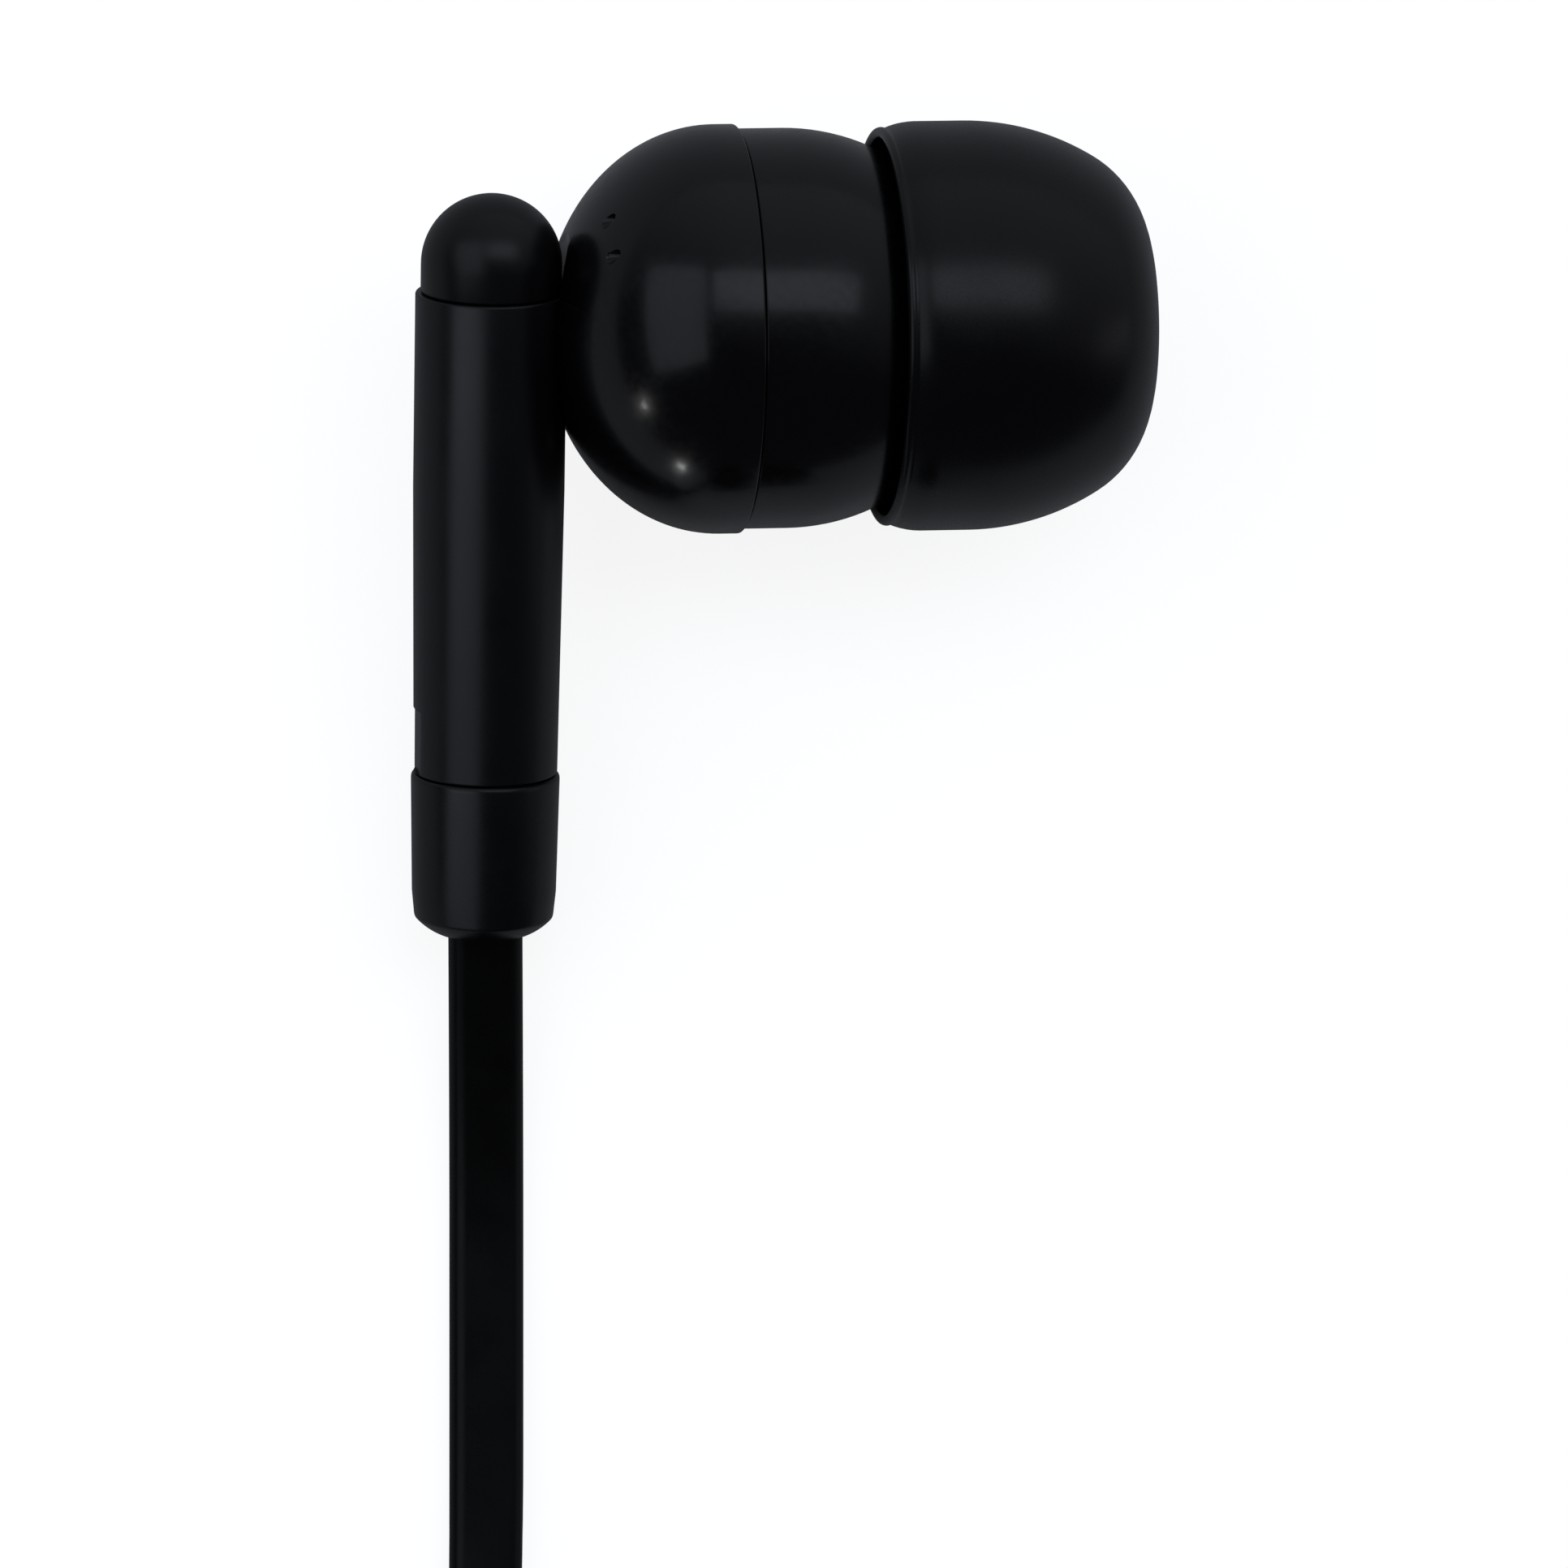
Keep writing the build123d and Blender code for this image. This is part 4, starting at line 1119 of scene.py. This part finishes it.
@dataclass(frozen=True)
class Softbox:
    """An area light that shines at the earpiece."""

    name: str
    direction: Point
    distance: float
    size: Pair
    radiance: float
    colour: Colour
    only: tuple[str, ...] = ()

    def build(self, target: Vector) -> bpy.types.Object:
        """Place the light, aim it with its first side along X, and limit it to the pieces it is for.

        Args:
            target: The point that it shines at.

        Returns:
            The light.
        """
        data = bpy.data.lights.new(self.name, "AREA")
        data.shape = "RECTANGLE"
        data.size, data.size_y = self.size
        data.energy = self.radiance * math.pi * self.size[0] * self.size[1]
        data.color = self.colour
        light = new_object(self.name, data)
        away = Vector(self.direction).normalized()
        light.location = target + away * self.distance
        across = (Vector((1, 0, 0)) - away * away.x).normalized()
        light.rotation_mode = "QUATERNION"
        light.rotation_quaternion = Matrix((across, away.cross(across), away)).transposed().to_quaternion()
        light.visible_camera = False
        if self.only:
            lit = bpy.data.collections.new(f"{self.name}_lights")
            for name in self.only:
                lit.objects.link(bpy.data.objects[name])
            light.light_linking.receiver_collection = lit
        return light


@dataclass(frozen=True)
class Studio:
    """The camera, the soft lights and the pale floor."""

    target: Point = (0.0, 0.05127, 0.00625)
    turn: float = 8.7
    distance: float = 0.5
    sensor: float = 36.0
    view_width: float = 0.0478
    floor_half: float = 3.0
    floor_seen: float = 0.87
    floor_felt: float = 0.02
    bright_side: Point = (0.3, 0.95, 0.0)
    dim: Colour = (0.034, 0.035, 0.041)
    bright: Colour = (0.26, 0.27, 0.3)

    def camera(self) -> None:
        """Look down at the left earpiece from a little to the side of its stem."""
        turn = math.radians(self.turn)
        back = Vector((-math.sin(turn), 0.0, math.cos(turn)))
        right = Vector((math.cos(turn), 0.0, math.sin(turn)))
        up = back.cross(right)
        data = bpy.data.cameras.new("camera")
        data.sensor_width = self.sensor
        data.lens = self.sensor * self.distance / self.view_width
        data.clip_start, data.clip_end = 0.01, 50.0
        camera = new_object("camera", data)
        axes = Matrix((right, up, back)).transposed().to_4x4()
        camera.matrix_world = Matrix.Translation(Vector(self.target) + back * self.distance) @ axes
        bpy.context.scene.camera = camera

    def floor(self) -> None:
        """A pale floor that glows a little, so that it stays nearly white."""
        builder = bmesh.new()
        bmesh.ops.create_grid(builder, x_segments=1, y_segments=1, size=self.floor_half)
        floor = built(builder, "floor")
        material = bpy.data.materials.new("floor_paper")
        material.use_nodes = True
        tree = material.node_tree
        seen = add_node(tree, "LightPath").outputs["Is Camera Ray"]
        glow = add_node(tree, "MapRange", {"Value": seen, "To Min": self.floor_felt, "To Max": self.floor_seen})
        feed(tree.nodes["Principled BSDF"], {
            "Base Color": (0.75, 0.75, 0.75, 1.0),
            "Roughness": 0.9,
            "Specular IOR Level": 0.0,
            "Emission Color": WHITE,
            "Emission Strength": glow.outputs["Result"],
        })
        floor.data.materials.append(material)
        floor.location.z = -0.00002

    def world(self) -> None:
        """White to the eye, and to everything else dim, with more light from beyond the housing."""
        world = bpy.data.worlds.new("studio")
        bpy.context.scene.world = world
        world.use_nodes = True
        tree = world.node_tree
        tree.nodes.clear()
        place = add_node(tree, "TexCoord").outputs["Generated"]
        side = add_node(tree, "VectorMath", {0: place, 1: self.bright_side}, operation="DOT_PRODUCT")
        spread = add_node(tree, "MapRange", {"Value": side.outputs["Value"], "From Min": -1.0})
        colour = colour_ramp(tree, spread.outputs["Result"], (0.4, self.dim), (1.0, self.bright))
        felt = add_node(tree, "Background", {"Color": colour}).outputs["Background"]
        seen = add_node(tree, "Background", {"Color": WHITE}).outputs["Background"]
        eye = add_node(tree, "LightPath").outputs["Is Camera Ray"]
        mix = add_node(tree, "MixShader", {"Fac": eye, 1: felt, 2: seen})
        add_node(tree, "OutputWorld", {"Surface": mix.outputs["Shader"]})

    def lights(self) -> None:
        """A cool key above, tall strips beside the stems, a fill, and two small lamps that only the left dome shows."""
        target = Vector((0.0, 0.06, 0.006))
        stems = tuple(f"{side.value}_{part}_piece" for side in Side for part in ("stem_shell", "strain_relief"))
        dome = ("left_rear_shell_piece",)
        cool, neutral = (0.82, 0.9, 1.0), (1.0, 1.0, 1.0)
        for box in (
            Softbox("key", (0.15, 0.346, 0.926), 0.6, (0.55, 0.24), 0.6, cool),
            Softbox("strip", (-0.713, 0.09, 0.7), 0.6, (0.5, 0.6), 0.42, cool),
            Softbox("stem_strip", (-0.66, -0.438, 0.61), 0.6, (0.56, 0.5), 0.4, cool, only=stems),
            Softbox("side_fill", (0.95, -0.1, 0.3), 1.2, (0.5, 0.3), 0.2, neutral),
        ):
            box.build(target)
        for name, spot, away in (
            ("upper_lamp", (-0.0118, 0.0624, 0.0109), (-0.783, -0.613, 0.118)),
            ("lower_lamp", (-0.0104, 0.0606, 0.0103), (-0.274, -0.955, -0.103)),
        ):
            Softbox(name, away, 0.055, (0.004, 0.004), 13.0, neutral, only=dome).build(Vector(spot))

    def build(self) -> None:
        """The camera and everything round the object but its lights, which name its pieces."""
        scene = bpy.context.scene
        scene.view_settings.view_transform = "Standard"
        self.camera()
        self.floor()
        self.world()


INNER_FINISHES = {
    "cord_crimp": "crimp_metal", "signal_wires": "wire_insulation", "acoustic_damper": "damper_foam",
    "seal_gasket": "gasket_foam", "driver_cover": "driver_steel", "diaphragm": "diaphragm_film",
    "diaphragm_surround": "diaphragm_film", "voice_coil": "coil_wire", "pole_plate": "driver_steel",
    "magnet": "magnet_plating", "yoke": "driver_steel", "driver_frame": "frame_plastic",
    "damping_paper": "damping_paper", "terminal_board": "circuit_board",
}


def dress_nodes() -> None:
    """Give every node that stays visible its finish."""
    finishes = {f"{side.value}_{node}": slot for side in Side for node, slot in INNER_FINISHES.items()}
    finishes |= {"splitter_core": "frame_plastic", "plug_core": "frame_plastic"}
    for node, slot in finishes.items():
        mesh = frame["nodes"][node].data
        mesh.materials.clear()
        mesh.materials.append(FINISHES[slot].material())
        log.info("%s: %s", node, slot)


def earpiece_shapes() -> dict[str, bpy.types.Mesh]:
    """The outer shapes of an earpiece, in its own frame in millimetres."""
    housing, stem = Housing(), Stem()
    pieces = {
        "ear_tip": EarTip().build(),
        "front_shell": housing.front_shell(),
        "rear_shell": housing.rear_shell(),
        "nozzle_mesh": housing.screen(),
        "stem_shell": stem.shell(),
        "stem_cap": stem.cap(),
        "strain_relief": stem.boot(),
    }
    shapes = {name: piece.data for name, piece in pieces.items()}
    for piece in pieces.values():
        bpy.data.objects.remove(piece)
    return shapes


def main() -> None:
    """Build the studio, the earpieces, the plug and the cords."""
    logging.basicConfig(level=logging.INFO, format="%(message)s")
    studio = Studio()
    studio.build()
    shapes = earpiece_shapes()
    for side in Side:
        Earpiece(side).build(shapes)
    for shape in shapes.values():
        bpy.data.meshes.remove(shape)
    splitter = Splitter().build()
    tie = Tie().build()
    plug = Plug().build()
    nodes = frame["nodes"]
    CordSet().build([*plug, nodes["plug_core"], tie], [*splitter, nodes["splitter_core"]])
    dress_nodes()
    studio.lights()
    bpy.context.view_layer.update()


if __name__ == "__main__":
    main()
